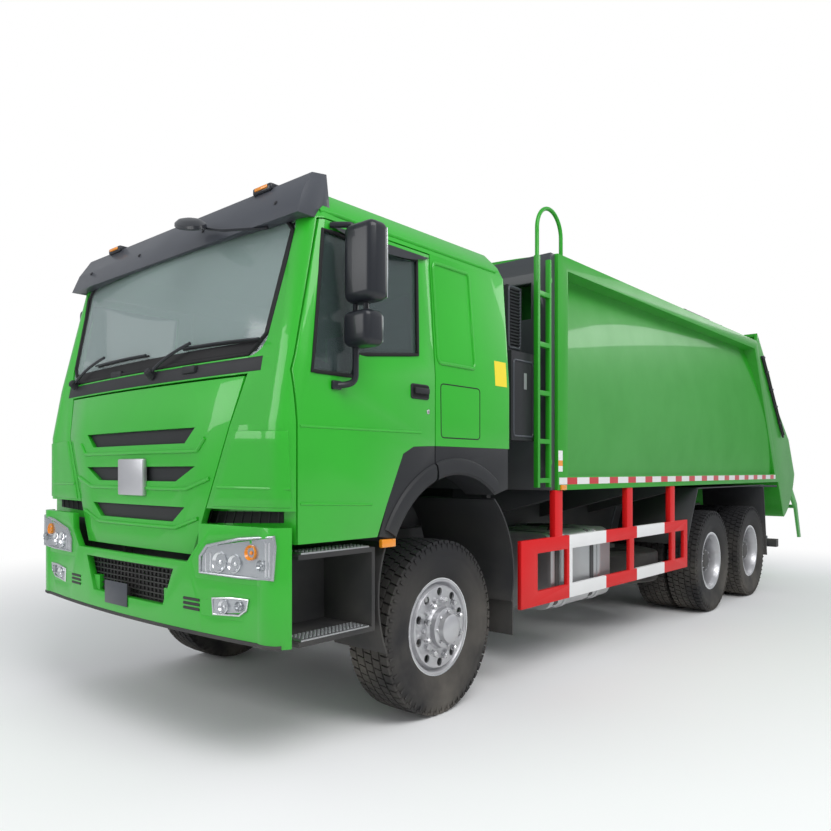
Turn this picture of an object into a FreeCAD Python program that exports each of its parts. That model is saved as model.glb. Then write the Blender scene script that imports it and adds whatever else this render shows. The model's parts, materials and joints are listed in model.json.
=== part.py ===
import FreeCAD, Part
import math
import os
import Sketcher

# Driving dimensions in millimetres. Y runs rearward from the front axle, Z up from the ground.
sizes = {
    # whole vehicle
    "overall_length": 10040,
    "front_overhang": 1440,
    "wheelbase": 4600,
    "tandem_spacing": 1350,
    "vehicle_width": 2480,
    "running_gap": 0.5,
    "panel_gap": 8,
    "seat_gap": 0.3,
    "overrun": 50,
    # chassis frame
    "rail_gauge": 860,
    "rail_flange": 80,
    "rail_depth": 280,
    "rail_wall": 12,
    "rail_top": 1040,
    "frame_front": -1180,
    "frame_rear": 6650,
    "crossmember_width": 120,
    "crossmember_depth": 160,
    "tow_hole_span": 160,
    "tow_hole_rise": 100,
    "tow_hole_radius": 10.5,
    "subframe_height": 150,
    "subframe_front": 1215,
    "bearer_tip": 60,
    "bearer_width": 110,
    # wheels
    "tyre_radius": 522,
    "tyre_width": 290,
    "rim_radius": 299,
    "rim_wall": 14,
    "rim_inner_radius": 250,
    "disc_wall": 16,
    "hub_radius": 130,
    "hub_cap_radius": 95,
    "stud_circle": 167,
    "stud_radius": 14,
    "stud_height": 30,
    "hand_hole_circle": 210,
    "hand_hole_radius": 24,
    "wheel_studs": 10,
    "front_wheel_x": 1002,
    "rear_outer_x": 1088,
    "rear_inner_x": 752,
    "spindle_radius": 48,
    "steer_pin_x": 850,
    "steer_pin_radius": 26,
    "steer_boss_radius": 50,
    # front axle
    "axle_beam_depth": 110,
    "axle_beam_width": 90,
    "axle_drop": 110,
    "knuckle_height": 220,
    "spring_x": 470,
    "spring_width": 90,
    "spring_depth": 90,
    "front_spring_length": 1500,
    "rear_axle_tube": 75,
    "banjo_radius": 230,
    "tie_rod_radius": 20,
    "steer_arm_length": 230,
    # cab form
    "cab_width": 2480,
    "cab_wall": 45,
    "cab_bottom": 1110,
    "cab_front": -1385,
    "cab_rear": 629,
    "belt_height": 1934,
    "belt_front": -1335,
    "cowl_height": 2000,
    "cowl_front": -1322,
    "header_height": 2700,
    "header_front": -1160,
    "cab_side_top": 2783,
    "cab_roof": 2960,
    "roof_half_width": 1150,
    "cab_corner": 150,
    "header_half": 1195,
    "roof_step": 100,
    "skirt_height": 1265,
    "toe_y": -1262,
    "cowl_wall": 20,
    "rear_window_width": 900,
    "rear_window_height": 420,
    "tilt_arm_wall": 40,
    "plan_curve": 55,
    "floor_height": 1596,
    "floor_wall": 45,
    "tilt_pivot_y": -1315,
    "tilt_pivot_z": 1150,
    "tilt_pin_radius": 12,
    # door
    "door_front": -1253,
    "door_rear": -200,
    "door_lean": 195,
    "door_top": 2690,
    "arch_front": -695,
    "arch_peak_front": -391,
    "door_bend": 1930,
    "window_front": -1045,
    "window_rear": -351,
    "window_step": 170,
    "window_sill": 1930,
    "window_top": 2635,
    "screen_half_low": 1010,
    "screen_half_high": 1085,
    "screen_bottom": 2022,
    "screen_top": 2765,
    "screen_round": 110,
    "mirror_inner_x": 1270,
    "mirror_y": -925,
    "mirror_depth": 140,
    "mirror_width": 200,
    "mirror_height": 385,
    "mirror_bottom": 2270,
    "mirror_foot_z": 1860,
    "mirror_arm_radius": 16,
    "mirror_foot_y": -1000,
    "window_inset": 10,
    "glass_wall": 6,
    # front flap
    "flap_half_top": 922,
    "flap_half_waist": 853,
    "flap_half_low": 568,
    "flap_waist": 1677,
    "flap_bottom": 1022,
    "door_swing_depth": 130,
    "flap_wall": 35,
    "flap_recess": 70,
    "flap_stop_drop": 100,
    "flap_stop_height": 20,
    "hinge_block": 60,
    "slot_height": 80,
    "slot_edge": 12,
    "visor_bottom": 2698,
    "visor_top": 2932,
    "visor_low_y": -1187,
    "visor_high_y": -1062,
    "visor_rear": -960,
    "visor_half_low": 1172,
    "visor_half_high": 1128,
    "visor_bulge": 16,
    # bumper
    "bumper_front": -1440,
    "bumper_bottom": 630,
    "bumper_side_top": 1190,
    "bumper_mid_top": 990,
    "bumper_wall": 40,
    "bumper_side_y": -1290,
    # cargo body
    "body_front": 1244,
    "body_floor": 1317,
    "body_rail_height": 100,
    "body_top": 3000,
    "body_crown": 3060,
    "body_rear_top": 6131,
    "body_wall": 24,
    "top_rail_height": 100,
    "side_bow": 1225,
    "side_low_x": 1195,
    "side_high_x": 1110,
    "rear_lean": 30,
    "post_width": 150,
    "tailgate_gap": 12,
    "bulkhead_depth": 60,
    "bulkhead_hole_x": 800,
    "bulkhead_hole_z": 2550,
    "bulkhead_hole": 260,
    "ladder_x": 1195,
    "ladder_y": 985,
    "ladder_bar": 32,
    "ladder_bottom": 1340,
    "ladder_top": 2940,
    "hoop_span": 340,
    "hoop_top": 3300,
    "hoop_bar": 14,
    # tailgate
    "tailgate_wall": 30,
    "gate_x": 1195,
    "gate_length": 2440,
    "cover_bend": 598,
    "cover_offset": 342,
    "cover_share": 0.745,
    "hinge_y": 6040,
    "hinge_z": 3110,
    "hinge_x": 700,
    "hinge_wall": 30,
    "side_clear": 6,
    "hinge_pin_radius": 30,
    "lift_arm_y": 110,
    "lift_arm_z": 110,
    "lift_reach": 1140,
    "lift_radius": 45,
    "lift_barrel_share": 0.62,
    "hopper_radius": 850,
    "sill_angle": 18,
    "ramp_angle": 70,
    # packer
    "carriage_offset": 190,
    "carriage_start": 480,
    "carriage_length": 620,
    "carriage_depth": 100,
    "carriage_half": 1000,
    "carriage_stroke": 500,
    "shoe_depth": 76,
    "slide_rail_wall": 15,
    "slide_rail_width": 85,
    "slide_radius": 45,
    "slide_cylinder_offset": 120,
    "slide_cylinder_inset": 130,
    "slide_barrel_tail": 200,
    "blade_knuckle": 30,
    "blade_pin": 22,
    "blade_depth": 60,
    "blade_clear": 60,
    "sweep_x": 450,
    "sweep_radius": 42,
    "sweep_foot_along": 60,
    "sweep_foot_off": 95,
    "sweep_lug_along": 180,
    "sweep_lug_off": 110,
    "sweep_barrel_share": 0.55,
    "ejector_y": 1500,
    "ejector_depth": 240,
    "lifter_angle": 27,
    "lifter_pin": 26,
    "lifter_stand": 120,
    "lifter_reach": 591,
    "lifter_drop": 720,
    # guards
    "guard_front": 745,
    "guard_rear": 3807,
    "guard_bottom": 533,
    "guard_top": 988,
    "guard_rail": 98,
    "guard_depth": 30,
    # tank
    "tank_front": 1280,
    "tank_rear": 2260,
    "tank_bottom": 440,
    "tank_height": 560,
    "tank_inner": 480,
    "tank_outer": 1165,
    "tank_round": 90,
    "strap_width": 60,
    "strap_wall": 8,
    "engine_front": -420,
    "engine_rear": 780,
    "engine_top": 1500,
    "engine_half": 330,
    "engine_mount": 100,
    "gearbox_length": 300,
    "gearbox_half": 180,
    "muffler_x": 800,
    "muffler_radius": 180,
    "muffler_length": 900,
    "battery_length": 620,
    "spare_x": 640,
    "spare_drop": 30,
    # steps, fenders and mudguards
    "step_inner": 850,
    "step_width": 380,
    "step_front": -1240,
    "step_length": 540,
    "step_low": 623,
    "step_high": 1059,
    "step_wall": 25,
    "arch_centre_y": 17,
    "arch_centre_z": 782,
    "arch_radius": 660,
    "liner_radius": 640,
    "front_liner_radius": 686,
    "liner_wall": 12,
    "liner_low": -16,
    "liner_high": 50,
    "front_liner_low": 205,
    "front_liner_high": 155,
    "flap_low": 380,
    "mud_front": 3828,
    "mud_front_low": 742,
    "mud_slope": 300,
    "mudguard_top": 1290,
    "mud_rear": 6592,
    "mud_rear_low": 420,
    "mud_wall": 12,
    "underrun_y": 7180,
    "underrun_z": 470,
    "underrun_depth": 100,
    # intake behind the cab
    "intake_front": 720,
    "intake_depth": 300,
    "intake_bottom": 1660,
    "intake_height": 600,
    "intake_inner": 860,
    "intake_width": 320,
    "stack_height": 460,
    # lamps and bumper openings
    "notch_slope": 105,
    "grille_half": 470,
    "grille_low": 745,
    "grille_high": 945,
    "lamp_inner": 620,
    "lamp_outer": 1120,
    "lamp_bottom": 915,
    "lamp_top": 1130,
    "lamp_slope": 120,
    "fog_inner": 700,
    "fog_outer": 1000,
    "fog_bottom": 735,
    "fog_height": 80,
    # cab furnishing
    "flare_width": 220,
    "door_flare_width": 45,
    "flare_door_low": 152,
    "flare_door_mid": 130,
    "flare_top": 1452,
    "flare_mid": 75,
    "flare_low": 52,
    "flare_rear_low": 1337,
    "dash_front": -1300,
    "dash_depth": 495,
    "dash_bottom": 1500,
    "dash_height": 420,
    "dash_half": 970,
    "seat_x": 640,
    "seat_width": 520,
    "seat_front": -470,
    "seat_depth": 540,
    "seat_base": 1780,
    "seat_thick": 140,
    "seat_height": 820,
    "hand_wheel_radius": 230,
    "hand_wheel_bar": 16,
    "hand_wheel_lean": 25,
    "column_reach": 330,
    "hand_wheel_y": -700,
    "hand_wheel_z": 2030,
}

doc = FreeCAD.newDocument("garbage_truck")
sheet = doc.addObject("Spreadsheet::Sheet", "dims")
for row, (alias, amount) in enumerate(sizes.items(), start=1):
    sheet.set(f"A{row}", alias)
    sheet.set(f"B{row}", str(amount))
    sheet.setAlias(f"B{row}", alias)
doc.recompute()


class Size:
    """A length that knows its value and the sheet formula behind it."""

    def __init__(self, value, text):
        self.value = float(value)
        self.text = text

    def __add__(self, other):
        other = sized(other)
        return Size(self.value + other.value, f"({self.text} + {other.text})")

    def __radd__(self, other):
        return sized(other) + self

    def __sub__(self, other):
        other = sized(other)
        return Size(self.value - other.value, f"({self.text} - {other.text})")

    def __rsub__(self, other):
        return sized(other) - self

    def __mul__(self, other):
        other = sized(other)
        return Size(self.value * other.value, f"({self.text} * {other.text})")

    def __rmul__(self, other):
        return sized(other) * self

    def __truediv__(self, other):
        other = sized(other)
        return Size(self.value / other.value, f"({self.text} / {other.text})")

    def __neg__(self):
        return Size(-self.value, f"(0 - {self.text})")

    def __float__(self):
        return self.value


def sized(number):
    return number if isinstance(number, Size) else Size(number, repr(number))


def sine(angle):
    return Size(math.sin(math.radians(angle.value)), f"sin({angle.text})")


def cosine(angle):
    return Size(math.cos(math.radians(angle.value)), f"cos({angle.text})")


def length_of(run, rise):
    return Size(math.hypot(run.value, rise.value), f"hypot({run.text}; {rise.text})")


class Sheet:
    def __getattr__(self, alias):
        return Size(sheet.get(alias), f"dims.{alias}")


dim = Sheet()


# Construction helpers
def bind(thing, prop, size):
    thing.setExpression(prop, sized(size).text)


def place(thing, x=0, y=0, z=0):
    for axis, size in (("x", x), ("y", y), ("z", z)):
        bind(thing, f"Placement.Base.{axis}", size)
    return thing


def box(name, x, y, z, dx, dy, dz):
    thing = doc.addObject("Part::Box", name)
    bind(thing, "Length", dx)
    bind(thing, "Width", dy)
    bind(thing, "Height", dz)
    return place(thing, x, y, z)


turns = {
    "X": FreeCAD.Rotation(FreeCAD.Vector(0, 1, 0), 90),
    "Y": FreeCAD.Rotation(FreeCAD.Vector(1, 0, 0), -90),
    "Z": FreeCAD.Rotation(),
}


def rod(name, axis, x, y, z, radius, length):
    thing = doc.addObject("Part::Cylinder", name)
    bind(thing, "Radius", radius)
    bind(thing, "Height", length)
    thing.Placement = FreeCAD.Placement(FreeCAD.Vector(), turns[axis])
    return place(thing, x, y, z)


def strut(name, x, start, end, radius):
    """A round bar across two (y, z) points in the plane x."""
    run = end[0] - start[0]
    rise = end[1] - start[1]
    thing = doc.addObject("Part::Cylinder", name)
    bind(thing, "Radius", radius)
    bind(thing, "Height", length_of(run, rise))
    lean = math.degrees(math.atan2(run.value, rise.value))
    thing.Placement = FreeCAD.Placement(
        FreeCAD.Vector(), FreeCAD.Rotation(FreeCAD.Vector(1, 0, 0), -lean)
    )
    return place(thing, x, start[0], start[1])


def boolean(kind, name, **links):
    thing = doc.addObject(kind, name)
    for prop, value in links.items():
        setattr(thing, prop, value)
    return thing


def fuse(name, things):
    return boolean("Part::MultiFuse", name, Shapes=things)


def common(name, things):
    return boolean("Part::MultiCommon", name, Shapes=things)


def cut(name, base, tool):
    return boolean("Part::Cut", name, Base=base, Tool=tool)


def group(name, things):
    return boolean("Part::Compound", name, Links=things)


def mirror(name, thing):
    other = doc.addObject("Part::Mirroring", name)
    other.Source = thing
    other.Normal = FreeCAD.Vector(1, 0, 0)
    return other


def both(name, thing):
    return group(name, [thing, mirror(name + "_right", thing)])


class Via:
    """A point that the arc between its neighbours passes through."""

    def __init__(self, x, y):
        self.spot = (sized(x), sized(y))


def vector(spot):
    return FreeCAD.Vector(float(spot[0]), float(spot[1]), 0)


def pin_point(sketch, geometry, end, spot):
    for kind, size in (("DistanceX", spot[0]), ("DistanceY", spot[1])):
        index = sketch.addConstraint(
            Sketcher.Constraint(kind, -1, 1, geometry, end, float(size))
        )
        sketch.setExpression(f"Constraints[{index}]", size.text)


def draw(sketch, outline):
    corners = [step if isinstance(step, Via) else (sized(step[0]), sized(step[1])) for step in outline]
    count = len(corners)
    joints = []
    for index, corner in enumerate(corners):
        if isinstance(corner, Via):
            continue
        after = corners[(index + 1) % count]
        if isinstance(after, Via):
            end = corners[(index + 2) % count]
            first, middle, last = vector(corner), vector(after.spot), vector(end)
            swings_left = (middle - first).cross(last - middle).z > 0
            if not swings_left:
                first, last = last, first
            edge = sketch.addGeometry(Part.Arc(first, middle, last), False)
            marker = sketch.addGeometry(Part.Point(vector(after.spot)), True)
            pin_point(sketch, marker, 1, after.spot)
            sketch.addConstraint(Sketcher.Constraint("PointOnObject", marker, 1, edge))
            start_end = (1, 2) if swings_left else (2, 1)
        else:
            edge = sketch.addGeometry(Part.LineSegment(vector(corner), vector(after)), False)
            start_end = (1, 2)
        joints.append((edge, start_end, corner))
    for index, (edge, ends, corner) in enumerate(joints):
        before, before_ends, _ = joints[index - 1]
        sketch.addConstraint(
            Sketcher.Constraint("Coincident", before, before_ends[1], edge, ends[0])
        )
        pin_point(sketch, edge, ends[0], corner)


def ring(sketch, centre, radius):
    edge = sketch.addGeometry(
        Part.Circle(vector(centre), FreeCAD.Vector(0, 0, 1), float(radius)), False
    )
    pin_point(sketch, edge, 3, (sized(centre[0]), sized(centre[1])))
    index = sketch.addConstraint(Sketcher.Constraint("Radius", edge, float(radius)))
    sketch.setExpression(f"Constraints[{index}]", sized(radius).text)


def new_sketch(body, name, plane, offset):
    sketch = body.newObject("Sketcher::SketchObject", name)
    origin = [item for item in body.Origin.OriginFeatures if item.Role == plane + "_Plane"][0]
    sketch.AttachmentSupport = (origin, [""])
    sketch.MapMode = "FlatFace"
    bind(sketch, "AttachmentOffset.Base.z", offset)
    return sketch


def pad(name, plane, outline, start, depth, holes=(), rounds=()):
    """A profile in plane YZ, XZ or XY, carried from start along the third axis by depth."""
    body = doc.addObject("PartDesign::Body", name)
    offset = -(sized(start) + sized(depth)) if plane == "XZ" else start
    sketch = new_sketch(body, name + "_profile", plane, offset)
    draw(sketch, outline)
    for hole in holes:
        if isinstance(hole[0], tuple) or isinstance(hole[0], Via):
            draw(sketch, hole)
        else:
            ring(sketch, (hole[0], hole[1]), hole[2])
    feature = body.newObject("PartDesign::Pad", name + "_pad")
    feature.Profile = sketch
    bind(feature, "Length", depth)
    doc.recompute()
    along = sketch.Placement.Rotation.multVec(FreeCAD.Vector(0, 0, 1))
    for number, (radius, spots) in enumerate(rounds):
        names = []
        for spot in spots:
            corner = sketch.Placement.multVec(vector(spot))
            for position, edge in enumerate(feature.Shape.Edges, start=1):
                line = edge.Curve
                if not isinstance(line, Part.Line):
                    continue
                straight = abs(line.Direction.dot(along)) > 0.999
                if straight and corner.distanceToLine(line.Location, along) < 0.01:
                    names.append(f"Edge{position}")
        fillet = body.newObject("PartDesign::Fillet", f"{name}_round{number}")
        fillet.Base = (feature, names)
        bind(fillet, "Radius", radius)
        doc.recompute()
        feature = fillet
    return body


def turn(name, plane, outline, axis="H_Axis"):
    """A profile turned round the sketch's first (H_Axis) or second (V_Axis) axis."""
    body = doc.addObject("PartDesign::Body", name)
    sketch = new_sketch(body, name + "_profile", plane, 0)
    draw(sketch, outline)
    feature = body.newObject("PartDesign::Revolution", name + "_turn")
    feature.Profile = sketch
    feature.ReferenceAxis = (sketch, [axis])
    feature.Angle = 360
    return body


nodes = []


def node(name, thing):
    """Names a finished sub-part and stands it where the truck stands in its own frame."""
    holder = group(name + "_node", [thing])
    holder.Label = name
    bind(holder, "Placement.Base.y", dim.front_overhang - dim.overall_length / 2)
    nodes.append(holder)
    return holder


def spot(along, off):
    """A (y, z) point of the leaning rear plane: along it downward and off it rearward."""
    y = dim.body_rear_top + along * sine(dim.rear_lean) + off * cosine(dim.rear_lean)
    z = dim.body_top - along * cosine(dim.rear_lean) + off * sine(dim.rear_lean)
    return (y, z)


half_width = dim.vehicle_width / 2
half_gauge = dim.rail_gauge / 2
rail_bottom = dim.rail_top - dim.rail_depth
rail_inside = half_gauge - dim.rail_flange
frame_length = dim.frame_rear - dim.frame_front
drive_axles = (dim.wheelbase, dim.wheelbase + dim.tandem_spacing)

# Chassis frame: two channel rails, crossmembers, body bearers, tilt brackets and air tanks
rail = pad(
    "rail",
    "XZ",
    (
        (rail_inside, rail_bottom),
        (half_gauge, rail_bottom),
        (half_gauge, dim.rail_top),
        (rail_inside, dim.rail_top),
        (rail_inside, dim.rail_top - dim.rail_wall),
        (half_gauge - dim.rail_wall, dim.rail_top - dim.rail_wall),
        (half_gauge - dim.rail_wall, rail_bottom + dim.rail_wall),
        (rail_inside, rail_bottom + dim.rail_wall),
    ),
    dim.frame_front,
    frame_length,
)
web = half_gauge - dim.rail_wall
frame_parts = [rail, mirror("rail_right", rail)]
crossmember_shares = (0.004, 0.26, 0.4, 0.55, 0.70, 0.79, 0.88, 0.982)
for number, share in enumerate(crossmember_shares):
    frame_parts.append(
        box(
            f"crossmember_{number}",
            -web,
            dim.frame_front + frame_length * share,
            dim.rail_top - dim.rail_wall - dim.crossmember_depth,
            web * 2,
            dim.crossmember_width,
            dim.crossmember_depth,
        )
    )
sub_length = dim.body_rear_top - dim.subframe_front + dim.body_rail_height
subrail = box(
    "subrail", rail_inside, dim.subframe_front, dim.rail_top, dim.rail_flange, sub_length, dim.subframe_height
)
frame_parts += [subrail, mirror("subrail_right", subrail)]
bearer_top = dim.body_floor - dim.seat_gap
bearer_end = half_width - dim.body_rail_height / 2
bearer_shares = (0.0, 0.244, 0.434)
bearer_spots = [dim.subframe_front + sub_length * share for share in bearer_shares]
for number, bearer_y in enumerate(bearer_spots):
    bearer = pad(
        f"bearer_{number}",
        "XZ",
        (
            (rail_inside, dim.rail_top + dim.subframe_height / 2),
            (half_gauge, dim.rail_top),
            (bearer_end, bearer_top - dim.bearer_tip),
            (bearer_end, bearer_top),
            (rail_inside, bearer_top),
        ),
        bearer_y,
        dim.bearer_width,
    )
    frame_parts += [bearer, mirror(f"bearer_{number}_right", bearer)]
sill_rail = box(
    "sill_rail", rail_inside, dim.subframe_front, dim.rail_top + dim.subframe_height, dim.rail_flange, sub_length,
    bearer_top - dim.rail_top - dim.subframe_height,
)
frame_parts += [sill_rail, mirror("sill_rail_right", sill_rail)]
bracket_shares = (
    (-0.13, 0.12), (-0.13, -0.1), (0.0, -0.22), (0.75, -0.95), (0.82, -1.02), (0.95, -2.2), (1.5, -2.2),
    (1.5, -1.0), (0.8, -0.47), (0.33, -0.42), (0.24, 0.0), (0.14, 0.2),
)
bracket_run = dim.frame_front - dim.tilt_pivot_y
bracket_rise = dim.tilt_pivot_z - dim.rail_top
bracket = pad(
    "tilt_bracket",
    "YZ",
    [
        (dim.tilt_pivot_y + bracket_run * run_share, dim.tilt_pivot_z + bracket_rise * rise_share)
        for run_share, rise_share in bracket_shares
    ],
    half_gauge,
    dim.rail_wall * 2,
)
tilt_pin = rod(
    "tilt_pin", "X", -half_gauge - dim.rail_wall, dim.tilt_pivot_y, dim.tilt_pivot_z, dim.tilt_pin_radius,
    dim.rail_gauge + dim.rail_wall * 2,
)
frame_parts += [bracket, mirror("tilt_bracket_right", bracket), tilt_pin]

# Wheels: tyre and rim profiles turned round the axle line
tyre_half = dim.tyre_width / 2
bead = tyre_half * 0.72 - dim.seat_gap
tyre_profile = (
    (-bead, dim.rim_radius - dim.rim_wall + dim.seat_gap),
    (bead, dim.rim_radius - dim.rim_wall + dim.seat_gap),
    (bead, dim.rim_radius + dim.seat_gap),
    (tyre_half * 0.86, dim.rim_radius + dim.rim_wall),
    (tyre_half, (dim.rim_radius + dim.tyre_radius) / 2),
    (tyre_half * 0.9, dim.tyre_radius - dim.rim_wall),
    (tyre_half * 0.8, dim.tyre_radius),
    (-tyre_half * 0.8, dim.tyre_radius),
    (-tyre_half * 0.9, dim.tyre_radius - dim.rim_wall),
    (-tyre_half, (dim.rim_radius + dim.tyre_radius) / 2),
    (-tyre_half * 0.86, dim.rim_radius + dim.rim_wall),
    (-bead, dim.rim_radius + dim.seat_gap),
)
tyre = turn("tyre_form", "XZ", tyre_profile)
rim_outer = dim.rim_radius - dim.rim_wall
barrel_profile = (
    (-tyre_half * 0.72, rim_outer),
    (-tyre_half * 0.72, dim.rim_radius),
    (-tyre_half * 0.82, dim.rim_radius),
    (-tyre_half * 0.82, rim_outer - dim.rim_wall),
    (-tyre_half * 0.5, dim.rim_inner_radius),
    (tyre_half * 0.5, dim.rim_inner_radius),
    (tyre_half * 0.82, rim_outer - dim.rim_wall),
    (tyre_half * 0.82, dim.rim_radius),
    (tyre_half * 0.72, dim.rim_radius),
    (tyre_half * 0.72, rim_outer),
)


def rim(name, disc_at, disc_face, hub_in, hub_out, bore):
    """A rim barrel with its disc, hub, studs and hand holes; the disc face bulges to disc_face."""
    barrel = turn(name + "_barrel", "XZ", barrel_profile)
    disc = turn(
        name + "_disc",
        "XZ",
        (
            (disc_at, dim.rim_inner_radius + dim.rim_wall / 2),
            (disc_face, dim.hand_hole_circle + dim.hand_hole_radius * 1.35),
            (disc_face, dim.hub_radius),
            (hub_out, dim.hub_cap_radius),
            (hub_out, bore * 0),
            (hub_out - dim.disc_wall * 2, bore * 0),
            (hub_out - dim.disc_wall * 2, bore),
            (hub_in, bore),
            (hub_in, dim.hub_radius),
            (disc_face - dim.disc_wall, dim.hub_radius),
            (disc_face - dim.disc_wall, dim.hand_hole_circle + dim.hand_hole_radius * 1.35),
            (disc_at - dim.disc_wall, dim.rim_inner_radius + dim.rim_wall / 2),
        ),
    )
    studs = []
    holes = []
    for number in range(int(dim.wheel_studs.value)):
        turn_angle = Size(360 * number, repr(360 * number)) / dim.wheel_studs
        studs.append(
            rod(
                f"{name}_stud_{number}", "X", disc_face - dim.disc_wall / 2, dim.stud_circle * cosine(turn_angle),
                dim.stud_circle * sine(turn_angle), dim.stud_radius, dim.stud_height,
            )
        )
        half_step = turn_angle + Size(180, "180") / dim.wheel_studs
        holes.append(
            rod(
                f"{name}_hole_{number}", "X", disc_face - dim.overrun, dim.hand_hole_circle * cosine(half_step),
                dim.hand_hole_circle * sine(half_step), dim.hand_hole_radius, dim.overrun * 2,
            )
        )
    return cut(name, fuse(name + "_solid", [barrel, disc] + studs), fuse(name + "_holes", holes))


def stand(name, things, x, y, turned=False):
    """Stands a wheel-frame piece at an axle end, facing left or turned to the right."""
    holder = group(name, things)
    if turned:
        holder.Placement = FreeCAD.Placement(
            FreeCAD.Vector(), FreeCAD.Rotation(FreeCAD.Vector(0, 0, 1), 180)
        )
    place(holder, x, y, dim.tyre_radius)
    return holder


pair_step = dim.rear_outer_x - dim.rear_inner_x
pair_face = tyre_half * -1.1
front_hub_face = tyre_half * 1.15
rear_hub_face = tyre_half * 0.3
front_rim = rim(
    "front_rim", tyre_half * 0.55, tyre_half * 0.85, tyre_half * -0.2, front_hub_face,
    dim.spindle_radius + dim.running_gap,
)
rear_rim = rim(
    "rear_rim", tyre_half * -0.4, tyre_half * -0.7, pair_face, rear_hub_face,
    dim.spindle_radius + dim.running_gap,
)
inner_rim = turn("inner_barrel", "XZ", barrel_profile)
inner_disc = turn(
    "inner_disc",
    "XZ",
    (
        (tyre_half * 0.4, dim.rim_inner_radius + dim.rim_wall / 2),
        (pair_step + pair_face + dim.seat_gap, dim.hub_radius + dim.stud_radius),
        (pair_step + pair_face + dim.seat_gap, dim.hub_radius * 0.7),
        (pair_step + pair_face - dim.disc_wall, dim.hub_radius * 0.7),
        (pair_step + pair_face - dim.disc_wall, dim.hub_radius),
        (tyre_half * 0.3, dim.rim_inner_radius - dim.rim_wall),
    ),
)
inner_set = fuse("inner_set", [inner_rim, inner_disc])
inner_shift = place(group("inner_shift", [inner_set]), -pair_step)
inner_tyre = place(group("inner_tyre", [tyre]), -pair_step)
rear_set = fuse("rear_set", [rear_rim, inner_shift])
for side, sign, turned in (("left", 1, False), ("right", -1, True)):
    node(f"front_tyre_{side}", group(f"ft_{side}", [stand(f"front_tyre_stand_{side}", [tyre], dim.front_wheel_x * sign, 0, turned)]))
    node(f"front_rim_{side}", group(f"fr_{side}", [stand(f"front_rim_stand_{side}", [front_rim], dim.front_wheel_x * sign, 0, turned)]))
    for number, axle_y in enumerate(drive_axles, start=1):
        tyres = stand(f"tyre_pair_{side}_{number}", [tyre, inner_tyre], dim.rear_outer_x * sign, axle_y, turned)
        rims = stand(f"rim_pair_{side}_{number}", [rear_set], dim.rear_outer_x * sign, axle_y, turned)
        node(f"drive_tyres_{side}_{number}", group(f"dt_{side}_{number}", [tyres]))
        node(f"drive_rims_{side}_{number}", group(f"dr_{side}_{number}", [rims]))

# Cab form: level sections from the skirt to the crown, joined as one ruled loft
level_rows = (
    (dim.flap_bottom - dim.overrun, dim.cab_front, dim.cab_width / 2, dim.cab_rear),
    (dim.flap_waist, dim.cab_front, dim.cab_width / 2, dim.cab_rear),
    (dim.belt_height, dim.belt_front, dim.cab_width / 2, dim.cab_rear),
    (dim.cowl_height, dim.cowl_front, dim.cab_width / 2, dim.cab_rear),
    (dim.header_height, dim.header_front, dim.header_half, dim.cab_rear),
    (dim.cab_side_top, dim.header_front + dim.roof_step / 4, dim.roof_half_width, dim.cab_rear),
)
roof_rise = dim.cab_roof - dim.cab_side_top
crown_shares = ((0.52, 0.7, 0.93), (0.88, 2.6, 0.72), (1.0, 5.0, 0.42))
belt_level = 3


def level(name, z, front, half, rear):
    side_start = front + dim.plan_curve + dim.cab_corner / 2
    round_rear = dim.cab_corner / 3
    turn_share = 0.29
    sketch = doc.addObject("Sketcher::SketchObject", name)
    draw(
        sketch,
        (
            (half - dim.cab_corner, front + dim.plan_curve),
            Via(half - dim.cab_corner * turn_share, front + dim.plan_curve + dim.cab_corner / 2 * turn_share),
            (half, side_start),
            (half, rear - round_rear),
            Via(half - round_rear * turn_share, rear - round_rear * turn_share),
            (half - round_rear, rear),
            (round_rear - half, rear),
            Via(round_rear * turn_share - half, rear - round_rear * turn_share),
            (-half, rear - round_rear),
            (-half, side_start),
            Via(dim.cab_corner * turn_share - half, front + dim.plan_curve + dim.cab_corner / 2 * turn_share),
            (dim.cab_corner - half, front + dim.plan_curve),
            Via(0, front),
        ),
    )
    bind(sketch, "Placement.Base.z", z)
    return sketch


def cab_form(name, inset, front_inset=None, low_front=0, drop=0):
    """The cab's outer shape drawn in by inset, or by front_inset at the nose."""
    nose = inset if front_inset is None else front_inset
    sections = []
    rows = list(level_rows)
    for rise_share, back_share, half_share in crown_shares:
        rows.append(
            (
                dim.cab_side_top + roof_rise * rise_share,
                dim.header_front + dim.roof_step * back_share,
                dim.roof_half_width * half_share,
                dim.cab_rear - dim.roof_step * back_share / 3,
            )
        )
    for number, (z, front, half, rear) in enumerate(rows):
        extra = low_front if number < belt_level else 0
        down = drop if number >= belt_level + 2 else 0
        sections.append(
            level(f"{name}_level_{number}", z - down, front + nose + extra, half - inset, rear - inset)
        )
    loft = doc.addObject("Part::Loft", name)
    loft.Sections = sections
    loft.Solid = True
    loft.Ruled = True
    return loft


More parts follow.
